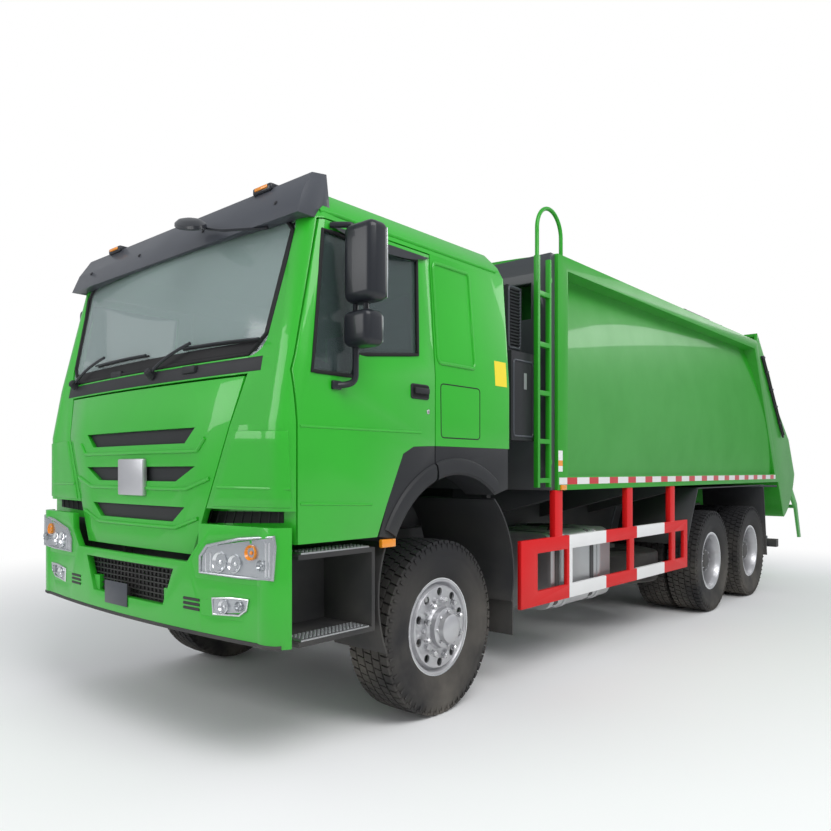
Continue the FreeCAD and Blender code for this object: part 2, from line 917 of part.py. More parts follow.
def under_cut(name, shift):
    """Everything below the cab floor, wheel arch and skirt, moved inward by shift."""
    reach = dim.arch_peak_front - dim.arch_front
    rise = dim.floor_height - dim.cab_bottom
    arch_shares = ((0.26, 0.354), (0.7, 0.9))
    outline = [
        (dim.cab_front - dim.overrun, dim.flap_bottom - dim.overrun * 2),
        (dim.cab_front - dim.overrun, dim.skirt_height + shift),
        (dim.toe_y + shift, dim.skirt_height + shift),
        (dim.toe_y + shift, dim.cab_bottom + shift),
        (dim.arch_front - shift, dim.cab_bottom + shift),
    ]
    for back_share, up_share in arch_shares:
        outline.append((dim.arch_front + reach * back_share - shift, dim.cab_bottom + rise * up_share + shift / 2))
    outline += [
        (dim.arch_peak_front - shift, dim.floor_height + shift),
        (dim.cab_rear + dim.overrun, dim.floor_height + shift),
        (dim.cab_rear + dim.overrun, dim.flap_bottom - dim.overrun * 2),
    ]
    return pad(name, "YZ", outline, -dim.cab_width, dim.cab_width * 2)


def door_outline(grow):
    reach = dim.arch_peak_front - dim.arch_front
    rise = dim.floor_height - dim.cab_bottom
    return (
        (dim.door_front - grow, dim.cab_bottom - grow),
        (dim.door_front - grow, dim.door_bend),
        (dim.door_front + dim.door_lean - grow, dim.door_top + grow),
        (dim.door_rear + grow, dim.door_top + grow),
        (dim.door_rear + grow, dim.floor_height - grow),
        (dim.arch_peak_front + grow / 2, dim.floor_height - dim.panel_gap - grow),
        (dim.arch_front + reach * 0.7 + grow, dim.cab_bottom + rise * 0.9 - grow),
        (dim.arch_front + reach * 0.26 + grow, dim.cab_bottom + rise * 0.354),
        (dim.arch_front + grow, dim.cab_bottom - grow),
    )


def window_outline(shrink):
    return (
        (dim.window_front - dim.window_step * 0.7 + shrink, dim.window_sill + shrink),
        (dim.window_front + dim.window_step - shrink, dim.window_sill + shrink),
        (dim.window_front + dim.window_step * 1.3 - shrink, dim.window_sill + dim.window_step * 0.7 + shrink),
        (dim.window_rear - shrink, dim.window_sill + dim.window_step + shrink),
        (dim.window_rear + dim.window_step * 0.2 - shrink, dim.window_top - shrink),
        (dim.window_front + shrink, dim.window_top - shrink),
    )


def screen_outline(shrink):
    return (
        (dim.screen_half_low - shrink, dim.screen_bottom + shrink),
        (dim.screen_half_high - shrink, dim.screen_top - shrink),
        (-dim.screen_half_high + shrink, dim.screen_top - shrink),
        (-dim.screen_half_low + shrink, dim.screen_bottom + shrink),
    )


def flap_outline(shrink):
    return (
        (dim.flap_half_low - shrink, dim.flap_bottom),
        (dim.flap_half_waist - shrink, dim.flap_waist),
        (dim.flap_half_top - shrink * 2.6, dim.belt_height - shrink * 1.5),
        (-dim.flap_half_top + shrink * 2.6, dim.belt_height - shrink * 1.5),
        (-dim.flap_half_waist + shrink, dim.flap_waist),
        (-dim.flap_half_low + shrink, dim.flap_bottom),
    )


def cowl_outline(shrink):
    return (
        (dim.screen_half_low - shrink, dim.belt_height + dim.panel_gap + shrink),
        (dim.screen_half_low - shrink, dim.screen_bottom - dim.panel_gap - shrink),
        (-dim.screen_half_low + shrink, dim.screen_bottom - dim.panel_gap - shrink),
        (-dim.screen_half_low + shrink, dim.belt_height + dim.panel_gap + shrink),
    )


nose_start = dim.cab_front * 1.3
nose_depth = -dim.cab_front * 0.7
side_reach = dim.cab_width / 2 * 0.8
side_depth = dim.cab_width / 2 * 0.4
outer = cab_form("cab_outer", 0)
inner = cab_form("cab_inner", dim.cab_wall, low_front=dim.flap_recess, drop=dim.cab_wall)
behind_door = cab_form(
    "behind_door", dim.cab_wall + dim.panel_gap, dim.cab_wall + dim.flap_recess + dim.door_swing_depth
)
behind_flap = cab_form("behind_flap", dim.flap_recess)
flap_back = cab_form("flap_back", dim.flap_wall)
glass_outer = cab_form("glass_outer", dim.window_inset)
glass_inner = cab_form("glass_inner", dim.window_inset + dim.glass_wall)
cowl_back = cab_form("cowl_back", dim.cowl_wall)
cab_seat = cab_form("cab_seat", -dim.seat_gap)

hollow = cut("cab_hollow", inner, under_cut("under_inner", dim.floor_wall))
raw_shell = cut("raw_shell", outer, fuse("cab_voids", [hollow, under_cut("under_outer", sized(0))]))
door_zone = pad("door_zone", "YZ", door_outline(dim.panel_gap), side_reach, side_depth)
door_void = cut("door_void", fuse("door_zones", [door_zone, mirror("door_zone_right", door_zone)]), behind_door)
flap_void = cut(
    "flap_void", pad("flap_zone", "XZ", flap_outline(sized(0)), nose_start, nose_depth), behind_flap
)
screen_zone = pad(
    "screen_zone", "XZ", screen_outline(sized(0)), nose_start, nose_depth,
    rounds=((dim.screen_round, screen_outline(sized(0))),),
)
cowl_void = cut("cowl_void", pad("cowl_zone", "XZ", cowl_outline(sized(0)), nose_start, nose_depth), cowl_back)
rear_window = box(
    "rear_window", -dim.rear_window_width / 2, dim.cab_rear - dim.overrun * 2, dim.window_sill + dim.window_step,
    dim.rear_window_width, dim.overrun * 4, dim.rear_window_height,
)
arm_head = dim.tilt_pin_radius * 1.6
tilt_arm = pad(
    "tilt_arm",
    "YZ",
    (
        (dim.tilt_pivot_y - arm_head, dim.tilt_pivot_z - arm_head / 3),
        (dim.tilt_pivot_y - arm_head / 3, dim.tilt_pivot_z - arm_head),
        (dim.toe_y + dim.floor_wall / 2, dim.cab_bottom + dim.floor_wall / 4),
        (dim.toe_y + dim.floor_wall / 2, dim.tilt_pivot_z + arm_head * 2),
        (dim.tilt_pivot_y, dim.tilt_pivot_z + arm_head),
        (dim.tilt_pivot_y - arm_head, dim.tilt_pivot_z + arm_head / 3),
    ),
    half_gauge - dim.tilt_arm_wall - dim.rail_wall,
    dim.tilt_arm_wall,
    holes=((dim.tilt_pivot_y, dim.tilt_pivot_z, dim.tilt_pin_radius + dim.running_gap),),
)
block = box(
    "flap_stop", dim.flap_half_low - dim.hinge_block, dim.cab_front, dim.belt_height - dim.flap_stop_drop,
    dim.hinge_block, dim.cab_wall - dim.cab_front + dim.belt_front + dim.flap_recess, dim.flap_stop_height,
)
block_pair = fuse("block_pair", [block, mirror("flap_stop_right", block)])
hinge_blocks = common("hinge_blocks", [block_pair, cab_form("hinge_limit", dim.flap_wall + dim.seat_gap)])
cab_cut = cut(
    "cab_cut",
    raw_shell,
    fuse("cab_openings", [door_void, flap_void, screen_zone, cowl_void, rear_window]),
)
cab = fuse("cab", [cab_cut, tilt_arm, mirror("tilt_arm_right", tilt_arm), hinge_blocks])
node("cab_shell", cab)
glass_skin = cut("glass_skin", glass_outer, glass_inner)
screen_glass = common(
    "screen_glass",
    [
        glass_skin,
        pad(
            "screen_inside", "XZ", screen_outline(dim.seat_gap), nose_start, nose_depth,
            rounds=((dim.screen_round, screen_outline(dim.seat_gap)),),
        ),
    ],
)
rear_pane = box(
    "rear_pane",
    -dim.rear_window_width / 2 + dim.seat_gap,
    dim.cab_rear - dim.window_inset - dim.glass_wall,
    dim.window_sill + dim.window_step + dim.seat_gap,
    dim.rear_window_width - dim.seat_gap * 2,
    dim.glass_wall,
    dim.rear_window_height - dim.seat_gap * 2,
)
node("windscreen", group("cab_glass", [screen_glass, rear_pane]))
door_solid = common(
    "door_solid",
    [
        cut("door_skin", outer, cab_form("door_back", dim.cab_wall)),
        pad("door_prism", "YZ", door_outline(sized(0)), side_reach, side_depth),
    ],
)
window_zone = pad("window_zone", "YZ", window_outline(sized(0)), side_reach, side_depth)
door = cut("door", door_solid, window_zone)
pane = common(
    "door_pane",
    [
        glass_skin,
        pad("pane_prism", "YZ", window_outline(dim.seat_gap * 3), side_reach, side_depth),
    ],
)
mirror_arm = dim.mirror_arm_radius
mirror_head_y = dim.mirror_y - dim.mirror_depth / 2
mirror_top_z = dim.mirror_bottom + dim.mirror_height
side_lean_share = (mirror_top_z - dim.cowl_height) / (dim.header_height - dim.cowl_height)


def mirror_strut(name, door_x, z):
    """A flat arm from the door's skin out and forward to the mirror's post."""
    post_x = dim.mirror_inner_x + mirror_arm * 2
    return pad(
        name,
        "XY",
        (
            (post_x, dim.mirror_y - mirror_arm),
            (post_x, dim.mirror_y + mirror_arm),
            (door_x, dim.mirror_foot_y + mirror_arm),
            (door_x, dim.mirror_foot_y - mirror_arm),
        ),
        z,
        mirror_arm * 1.6,
    )


mirror_parts = [
    box("mirror_head", dim.mirror_inner_x, mirror_head_y, dim.mirror_bottom, dim.mirror_width, dim.mirror_depth, dim.mirror_height),
    box(
        "mirror_small", dim.mirror_inner_x, mirror_head_y, dim.mirror_bottom - dim.mirror_height * 0.55,
        dim.mirror_width * 0.85, dim.mirror_depth, dim.mirror_height * 0.45,
    ),
    rod(
        "mirror_post", "Z", dim.mirror_inner_x + mirror_arm * 2, dim.mirror_y, dim.mirror_foot_z,
        mirror_arm, dim.mirror_bottom + dim.mirror_height - dim.mirror_foot_z + mirror_arm * 2,
    ),
    mirror_strut("mirror_low_arm", half_width + dim.seat_gap, dim.mirror_foot_z),
    mirror_strut(
        "mirror_top_arm",
        half_width - (half_width - dim.header_half) * side_lean_share + dim.seat_gap,
        mirror_top_z,
    ),
]
mirror_left = fuse("mirror_set", mirror_parts)
for side, wrap in (("left", lambda name, thing: thing), ("right", mirror)):
    node(f"door_{side}", wrap(f"door_{side}_form", door))
    node(f"door_glass_{side}", wrap(f"pane_{side}_form", pane))
    node(f"mirror_{side}", wrap(f"mirror_{side}_form", mirror_left))

# Front flap with its three grille slots, the mesh behind them, the cowl and the sun visor
slot_shares = ((0.72, 0.63, 0.535), (0.5, 0.63, 0.45), (0.265, 0.535, 0.42))
flap_height = dim.belt_height - dim.flap_bottom


def slot_outline(shares, shrink):
    height_share, high_share, low_share = shares
    z = dim.flap_bottom + flap_height * height_share
    high = dim.flap_half_top * high_share - shrink * 4
    low = dim.flap_half_top * low_share - shrink * 4
    bottom = z - dim.slot_height + shrink
    return ((low, bottom), (high, z - shrink), (-high, z - shrink), (-low, bottom))


slots = []
meshes = []
for number, shares in enumerate(slot_shares):
    slots.append(pad(f"slot_{number}", "XZ", slot_outline(shares, sized(0)), nose_start, nose_depth))
    meshes.append(pad(f"slot_mesh_{number}", "XZ", slot_outline(shares, dim.seat_gap * 2), nose_start, nose_depth))
flap_skin = common(
    "flap_skin",
    [
        cut("flap_plate", outer, flap_back),
        pad("flap_prism", "XZ", flap_outline(dim.panel_gap), nose_start, nose_depth),
    ],
)
node("front_flap", cut("flap", flap_skin, fuse("slots", slots)))
mesh_skin = cut("mesh_skin", cab_form("mesh_front", dim.flap_wall - dim.glass_wall * 2), flap_back)
node("grille_mesh", common("mesh", [mesh_skin, fuse("mesh_forms", meshes)]))
node(
    "cowl",
    common(
        "cowl_plate",
        [
            cut("cowl_skin", outer, cab_form("cowl_inside", dim.cowl_wall - dim.seat_gap)),
            pad("cowl_prism", "XZ", cowl_outline(dim.seat_gap), nose_start, nose_depth),
        ],
    ),
)
visor_mid = (dim.visor_bottom + dim.visor_top) / 2
visor_profile = pad(
    "visor_profile",
    "YZ",
    (
        (dim.visor_low_y, dim.visor_bottom),
        ((dim.visor_low_y + dim.visor_high_y) / 2 - dim.visor_bulge, visor_mid),
        (dim.visor_high_y, dim.visor_top),
        (dim.visor_rear, dim.visor_top + dim.visor_bulge),
        (dim.visor_rear, dim.visor_bottom),
    ),
    -dim.cab_width,
    dim.cab_width * 2,
)
visor_face = pad(
    "visor_face",
    "XZ",
    (
        (dim.visor_half_low, dim.visor_bottom - dim.overrun),
        (dim.visor_half_high, dim.visor_top + dim.overrun),
        (-dim.visor_half_high, dim.visor_top + dim.overrun),
        (-dim.visor_half_low, dim.visor_bottom - dim.overrun),
    ),
    nose_start,
    nose_depth,
)
node("sun_visor", cut("visor", common("visor_band", [visor_profile, visor_face]), cab_seat))

# Cargo body: bowed side walls between box rails, end posts and the bulkhead
body_high = dim.body_top - dim.top_rail_height
body_mid = (dim.body_floor + dim.body_top) / 2
wall_inner = (
    (dim.side_low_x - dim.body_wall, dim.body_floor + dim.body_wall),
    Via(dim.side_bow - dim.body_wall, body_mid),
    (dim.side_high_x - dim.body_wall, body_high + dim.body_wall),
    (dim.side_high_x - dim.body_wall * 3, dim.body_top - dim.body_wall),
    Via(0, dim.body_crown - dim.body_wall),
    (-dim.side_high_x + dim.body_wall * 3, dim.body_top - dim.body_wall),
    (-dim.side_high_x + dim.body_wall, body_high + dim.body_wall),
    Via(-dim.side_bow + dim.body_wall, body_mid),
    (-dim.side_low_x + dim.body_wall, dim.body_floor + dim.body_wall),
)
wall_outer = (
    (half_width, dim.body_floor),
    (half_width, dim.body_floor + dim.body_rail_height),
    (dim.side_low_x, dim.body_floor + dim.body_rail_height),
    Via(dim.side_bow, body_mid),
    (dim.side_high_x, body_high),
    (half_width, body_high),
    (half_width, dim.body_top),
    Via(0, dim.body_crown),
    (-half_width, dim.body_top),
    (-half_width, body_high),
    (-dim.side_high_x, body_high),
    Via(-dim.side_bow, body_mid),
    (-dim.side_low_x, dim.body_floor + dim.body_rail_height),
    (-half_width, dim.body_floor + dim.body_rail_height),
    (-half_width, dim.body_floor),
)
body_run = dim.body_rear_top - dim.body_front
body_reach = body_run * 1.4
tube = pad("body_tube", "XZ", wall_outer, dim.body_front, body_reach)
cavity = pad("body_cavity", "XZ", wall_inner, dim.body_front - dim.overrun, body_reach)
floor_along = (dim.body_top - dim.body_floor) / cosine(dim.rear_lean)
top_edge = spot(sized(0), sized(0))
low_edge = spot(floor_along, sized(0))
rear_void = pad(
    "rear_void",
    "YZ",
    (
        spot(-dim.overrun * 3, sized(0)),
        spot(floor_along + dim.overrun * 3, sized(0)),
        (low_edge[0] + body_run, low_edge[1] - dim.overrun * 3),
        (low_edge[0] + body_run, dim.body_crown + dim.overrun * 2),
    ),
    -dim.vehicle_width,
    dim.vehicle_width * 2,
)
rear_post = pad(
    "rear_post",
    "YZ",
    (
        (top_edge[0] - dim.post_width, dim.body_top),
        top_edge,
        low_edge,
        (low_edge[0] - dim.post_width, dim.body_floor),
    ),
    -half_width,
    half_width * 2,
)
front_post = box(
    "front_post", -half_width, dim.body_front, dim.body_floor, half_width * 2, dim.post_width,
    dim.body_top - dim.body_floor,
)
ear = pad(
    "hinge_ear",
    "YZ",
    (
        (dim.hinge_y - dim.hinge_pin_radius * 4, dim.body_top),
        (dim.hinge_y + dim.hinge_pin_radius, dim.body_top),
        (dim.hinge_y + dim.hinge_pin_radius * 1.8, dim.hinge_z),
        (dim.hinge_y + dim.hinge_pin_radius, dim.hinge_z + dim.hinge_pin_radius * 1.8),
        (dim.hinge_y - dim.hinge_pin_radius * 1.5, dim.hinge_z + dim.hinge_pin_radius * 1.8),
    ),
    dim.hinge_x,
    dim.hinge_wall,
)
hinge_pin = rod(
    "hinge_pin", "X", dim.hinge_x - dim.hinge_wall * 1.5, dim.hinge_y, dim.hinge_z, dim.hinge_pin_radius,
    dim.hinge_wall * 4,
)
lift_foot_y = dim.hinge_y - dim.lift_reach
lift_x = dim.hinge_x + dim.hinge_wall * 2 + dim.side_clear * 2 + dim.lift_radius * 0.7
lift_z = dim.hinge_z + dim.lift_arm_z
lift_foot = box(
    "lift_foot", lift_x - dim.hinge_wall / 2, lift_foot_y - dim.lift_radius, dim.body_top, dim.hinge_wall,
    dim.lift_radius * 2, lift_z - dim.body_top,
)
body = cut(
    "body",
    fuse(
        "body_solid",
        [tube, rear_post, front_post, ear, mirror("hinge_ear_right", ear), hinge_pin, mirror("hinge_pin_right", hinge_pin),
         lift_foot, mirror("lift_foot_right", lift_foot)],
    ),
    fuse("body_voids", [cavity, rear_void]),
)
node("body_shell", body)
bulkhead = pad(
    "bulkhead",
    "XZ",
    (
        (half_width - dim.body_wall, dim.body_floor),
        (half_width - dim.body_wall, dim.body_top),
        (dim.body_wall - half_width, dim.body_top),
        (dim.body_wall - half_width, dim.body_floor),
    ),
    dim.body_front - dim.bulkhead_depth - dim.seat_gap,
    dim.bulkhead_depth,
    holes=(
        (
            (dim.bulkhead_hole_x, dim.bulkhead_hole_z),
            (dim.bulkhead_hole_x + dim.bulkhead_hole, dim.bulkhead_hole_z),
            (dim.bulkhead_hole_x + dim.bulkhead_hole, dim.bulkhead_hole_z + dim.bulkhead_hole),
            (dim.bulkhead_hole_x, dim.bulkhead_hole_z + dim.bulkhead_hole),
        ),
    ),
)
node("front_bulkhead", bulkhead)

# Ladder between the cab and the body, hooped over the top
ladder_parts = [
    box("ladder_stile", dim.ladder_x, dim.ladder_y, dim.ladder_bottom, dim.ladder_bar, dim.ladder_bar, dim.ladder_top - dim.ladder_bottom),
    box(
        "ladder_stile_rear", dim.ladder_x, dim.body_front - dim.bulkhead_depth * 1.6, dim.ladder_bottom, dim.ladder_bar,
        dim.ladder_bar * 0.8, dim.ladder_top - dim.ladder_bottom,
    ),
]
rung_shares = (0.02, 0.19, 0.4, 0.61, 0.83)
rung_length = dim.body_front - dim.bulkhead_depth * 1.6 - dim.ladder_y
for number, share in enumerate(rung_shares):
    ladder_parts.append(
        box(
            f"rung_{number}", dim.ladder_x, dim.ladder_y, dim.ladder_bottom + (dim.ladder_top - dim.ladder_bottom) * share,
            dim.ladder_bar, rung_length, dim.ladder_bar,
        )
    )
foot_length = dim.bulkhead_depth * 0.6 - dim.seat_gap * 2
for number, share in enumerate((0.1, 0.9)):
    ladder_parts.append(
        box(
            f"ladder_foot_{number}", dim.ladder_x, dim.body_front - dim.bulkhead_depth * 1.6 + dim.ladder_bar / 2,
            dim.ladder_bottom + (dim.ladder_top - dim.ladder_bottom) * share, dim.ladder_bar,
            foot_length - dim.ladder_bar / 2, dim.ladder_bar,
        )
    )
hoop_radius = dim.hoop_span / 2
hoop_y = dim.ladder_y + dim.ladder_bar / 2
ladder_parts += [
    rod(
        "hoop_front", "Z", dim.ladder_x + dim.ladder_bar / 2, hoop_y, dim.ladder_top - dim.overrun, dim.hoop_bar,
        dim.hoop_top - dim.ladder_top - hoop_radius + dim.overrun,
    ),
    rod(
        "hoop_rear", "Z", dim.ladder_x + dim.ladder_bar / 2, hoop_y + dim.hoop_span, dim.body_top + dim.side_clear,
        dim.hoop_bar,
        dim.hoop_top - dim.body_top - hoop_radius - dim.side_clear,
    ),
]
hoop_arc = doc.addObject("Part::Torus", "hoop_arc")
bind(hoop_arc, "Radius1", hoop_radius)
bind(hoop_arc, "Radius2", dim.hoop_bar)
hoop_arc.Angle3 = 180
hoop_arc.Placement = FreeCAD.Placement(FreeCAD.Vector(), FreeCAD.Rotation(FreeCAD.Vector(1, 1, 1), 120))
place(hoop_arc, dim.ladder_x + dim.ladder_bar / 2, hoop_y + hoop_radius, dim.hoop_top - hoop_radius)
ladder_parts.append(hoop_arc)
node("ladder", fuse("ladder_bars", ladder_parts))

# Tailgate: side plates, upper cover, hopper floor and hinge lugs
gate_x = dim.gate_x
pivot_low = spot(
    dim.carriage_start + dim.carriage_length + dim.blade_knuckle + dim.carriage_stroke, dim.carriage_offset
)


def on_arc(angle, radius):
    return (pivot_low[0] + radius * cosine(angle), pivot_low[1] - radius * sine(angle))


inner_radius = dim.hopper_radius
outer_radius = dim.hopper_radius + dim.tailgate_wall
mid_angle = (dim.sill_angle + dim.ramp_angle) / 2
side_plate = pad(
    "side_plate",
    "YZ",
    (
        spot(dim.tailgate_wall, dim.tailgate_gap),
        spot(-dim.tailgate_wall * 2, dim.tailgate_gap + dim.tailgate_wall * 3),
        spot(dim.cover_bend, dim.cover_offset),
        spot(dim.cover_bend * 1.9, dim.cover_offset * 1.33),
        spot(dim.cover_bend * 2.9, dim.cover_offset * 2.18),
        on_arc(dim.sill_angle, outer_radius),
        Via(*on_arc(mid_angle, outer_radius)),
        on_arc(dim.ramp_angle, outer_radius),
        spot(dim.gate_length, dim.tailgate_gap),
    ),
    gate_x,
    dim.tailgate_wall,
)
hopper_floor = pad(
    "hopper_floor",
    "YZ",
    (
        on_arc(dim.sill_angle, outer_radius),
        Via(*on_arc(mid_angle, outer_radius)),
        on_arc(dim.ramp_angle, outer_radius),
        spot(dim.gate_length, dim.tailgate_gap),
        spot(floor_along - dim.tailgate_wall, dim.tailgate_gap),
        spot(floor_along - dim.tailgate_wall, dim.tailgate_gap + dim.tailgate_wall),
        on_arc(dim.ramp_angle, inner_radius),
        Via(*on_arc(mid_angle, inner_radius)),
        on_arc(dim.sill_angle, inner_radius),
    ),
    -gate_x - dim.tailgate_wall / 2,
    gate_x * 2 + dim.tailgate_wall,
)
cover_along = (dim.cover_bend + dim.tailgate_wall * 2) * dim.cover_share - dim.tailgate_wall * 2
cover_low = dim.tailgate_gap + dim.tailgate_wall * 3
cover_off = cover_low + (dim.cover_offset - cover_low) * dim.cover_share
cover = pad(
    "upper_cover",
    "YZ",
    (
        spot(-dim.tailgate_wall * 2, cover_low),
        spot(cover_along, cover_off),
        spot(cover_along, cover_off - dim.tailgate_wall),
        spot(-dim.tailgate_wall, dim.tailgate_gap + dim.tailgate_wall * 2.4),
    ),
    -gate_x - dim.tailgate_wall / 2,
    gate_x * 2 + dim.tailgate_wall,
)
lug = pad(
    "gate_lug",
    "YZ",
    (
        (dim.hinge_y - dim.hinge_pin_radius * 1.8, dim.hinge_z),
        (dim.hinge_y - dim.hinge_pin_radius, dim.hinge_z - dim.hinge_pin_radius * 1.4),
        (dim.hinge_y + dim.hinge_pin_radius * 2, dim.hinge_z - dim.hinge_pin_radius * 2),
        spot(dim.tailgate_wall * 2, dim.tailgate_gap + dim.tailgate_wall * 2),
        spot(dim.tailgate_wall, dim.tailgate_gap + dim.tailgate_wall * 5),
        (dim.hinge_y + dim.lift_arm_y + dim.hinge_pin_radius, dim.hinge_z + dim.lift_arm_z),
        (dim.hinge_y + dim.lift_arm_y - dim.hinge_pin_radius, dim.hinge_z + dim.lift_arm_z + dim.hinge_pin_radius),
        (dim.hinge_y - dim.hinge_pin_radius, dim.hinge_z + dim.hinge_pin_radius * 1.8),
    ),
    dim.hinge_x + dim.hinge_wall + dim.side_clear,
    dim.hinge_wall,
    holes=((dim.hinge_y, dim.hinge_z, dim.hinge_pin_radius + dim.running_gap),),
)
slide_rails = []
for number, sign in enumerate((1, -1)):
    rail_off = dim.carriage_offset + (dim.shoe_depth / 2 + dim.running_gap) * sign
    rail_edge = rail_off + dim.slide_rail_wall * sign
    start = dim.carriage_start - dim.overrun / 2
    end = dim.carriage_start + dim.carriage_length + dim.carriage_stroke + dim.overrun / 2
    slide_rails.append(
        pad(
            f"slide_rail_{number}",
            "YZ",
            (spot(start, rail_off), spot(end, rail_off), spot(end, rail_edge), spot(start, rail_edge)),
            gate_x - dim.slide_rail_width,
            dim.slide_rail_width + dim.tailgate_wall / 2,
        )
    )
barrel_base = dim.carriage_start + dim.carriage_length + dim.carriage_stroke + dim.slide_barrel_tail
slide_off = dim.carriage_offset + dim.slide_cylinder_offset
anchor = pad(
    "slide_anchor",
    "YZ",
    (
        spot(barrel_base, slide_off - dim.slide_radius),
        spot(barrel_base + dim.slide_radius, slide_off - dim.slide_radius),
        spot(barrel_base + dim.slide_radius, slide_off + dim.slide_radius),
        spot(barrel_base, slide_off + dim.slide_radius),
    ),
    gate_x - dim.slide_cylinder_inset - dim.slide_radius,
    dim.slide_cylinder_inset + dim.slide_radius + dim.tailgate_wall / 2,
)
gate_half = [side_plate, lug, anchor] + slide_rails
gate_parts = [hopper_floor, cover]
for thing in gate_half:
    gate_parts += [thing, mirror(thing.Name + "_right", thing)]
edge_beam = pad(
    "gate_top_beam",
    "YZ",
    (
        spot(dim.tailgate_wall * 0.2, dim.tailgate_gap + dim.tailgate_wall * 2.8),
        spot(dim.tailgate_wall * 0.2, dim.tailgate_gap + dim.tailgate_wall * 1.4),
        spot(dim.tailgate_wall * 2, dim.tailgate_gap),
        spot(dim.tailgate_wall * 6, dim.tailgate_gap),
        spot(dim.tailgate_wall * 4, dim.tailgate_gap + dim.tailgate_wall * 4),
    ),
    -gate_x - dim.tailgate_wall / 2,
    gate_x * 2 + dim.tailgate_wall,
)
gate_parts.append(edge_beam)

# Packer: carriage with shoes and ears, sweep blade, and their cylinders
carriage_end = dim.carriage_start + dim.carriage_length
knuckle_along = carriage_end + dim.blade_knuckle
carriage_plate = pad(
    "carriage_plate",
    "YZ",
    (
        spot(dim.carriage_start, dim.carriage_offset - dim.carriage_depth / 2),
        spot(carriage_end, dim.carriage_offset - dim.carriage_depth / 2),
        spot(carriage_end, dim.carriage_offset + dim.carriage_depth / 2),
        spot(dim.carriage_start, dim.carriage_offset + dim.carriage_depth / 2),
    ),
    -dim.carriage_half,
    dim.carriage_half * 2,
)
pivot = spot(knuckle_along, dim.carriage_offset)
knuckle_groove = rod(
    "knuckle_groove", "X", dim.hinge_wall - dim.carriage_half, pivot[0], pivot[1],
    dim.blade_pin * 2.2 + dim.side_clear, (dim.carriage_half - dim.hinge_wall) * 2,
)
carriage_plate = cut("carriage_grooved", carriage_plate, knuckle_groove)
shoe = pad(
    "shoe",
    "YZ",
    (
        spot(dim.carriage_start, dim.carriage_offset - dim.shoe_depth / 2),
        spot(carriage_end, dim.carriage_offset - dim.shoe_depth / 2),
        spot(carriage_end, dim.carriage_offset + dim.shoe_depth / 2),
        spot(dim.carriage_start, dim.carriage_offset + dim.shoe_depth / 2),
    ),
    dim.carriage_half - dim.hinge_wall,
    gate_x - dim.side_clear * 2 - dim.carriage_half + dim.hinge_wall,
)
blade_ear = pad(
    "blade_ear",
    "YZ",
    (
        spot(carriage_end - dim.overrun, dim.carriage_offset - dim.blade_depth / 2),
        spot(knuckle_along, dim.carriage_offset - dim.blade_pin * 1.6),
        spot(knuckle_along + dim.blade_pin * 1.6, dim.carriage_offset),
        spot(knuckle_along, dim.carriage_offset + dim.blade_pin * 1.6),
        spot(carriage_end - dim.overrun, dim.carriage_offset + dim.blade_depth / 2),
    ),
    dim.carriage_half - dim.hinge_wall,
    dim.hinge_wall,
)
blade_pin = rod("blade_pin", "X", -dim.carriage_half, pivot[0], pivot[1], dim.blade_pin, dim.carriage_half * 2)
ear_along = dim.carriage_start + dim.carriage_length * 0.27
slide_ear = pad(
    "slide_ear",
    "YZ",
    (
        spot(ear_along, dim.carriage_offset),
        spot(ear_along + dim.slide_radius, dim.carriage_offset),
        spot(ear_along + dim.slide_radius, slide_off + dim.slide_radius),
        spot(ear_along, slide_off + dim.slide_radius),
    ),
    dim.carriage_half - dim.overrun,
    gate_x - dim.slide_cylinder_inset + dim.slide_radius * 0.8 - dim.carriage_half + dim.overrun,
)
slide_rod_end = spot(ear_along + dim.slide_radius / 2, slide_off)
barrel_top = barrel_base - dim.carriage_stroke - dim.slide_radius * 2
rod_tip = spot(barrel_top + dim.slide_radius, slide_off)
slide_x = gate_x - dim.slide_cylinder_inset
slide_rod = strut("slide_rod", slide_x, slide_rod_end, rod_tip, dim.slide_radius * 0.5)
sweep_foot_along = dim.carriage_start + dim.sweep_foot_along
sweep_foot_off = dim.carriage_offset + dim.sweep_foot_off
foot_plate = pad(
    "sweep_foot",
    "YZ",
    (
        spot(sweep_foot_along - dim.overrun, dim.carriage_offset),
        spot(sweep_foot_along + dim.overrun, dim.carriage_offset),
        spot(sweep_foot_along + dim.sweep_radius * 0.6, sweep_foot_off),
        spot(sweep_foot_along, sweep_foot_off + dim.sweep_radius * 0.6),
        spot(sweep_foot_along - dim.sweep_radius * 0.6, sweep_foot_off),
    ),
    dim.sweep_x + dim.sweep_radius * 0.5 + dim.side_clear,
    dim.hinge_wall / 2,
)
foot_spot = spot(sweep_foot_along, sweep_foot_off)
foot_pin = rod(
    "foot_pin", "X", dim.sweep_x - dim.sweep_radius * 0.5 - dim.side_clear, foot_spot[0], foot_spot[1],
    dim.sweep_radius * 0.35, dim.sweep_radius + dim.side_clear * 2 + dim.hinge_wall / 2,
)
carriage_half_parts = [shoe, blade_ear, slide_ear, slide_rod, foot_plate, foot_pin]
carriage_parts = [carriage_plate, blade_pin]
for thing in carriage_half_parts:
    carriage_parts += [thing, mirror(thing.Name + "_right", thing)]
node("carriage", fuse("carriage_solid", carriage_parts))

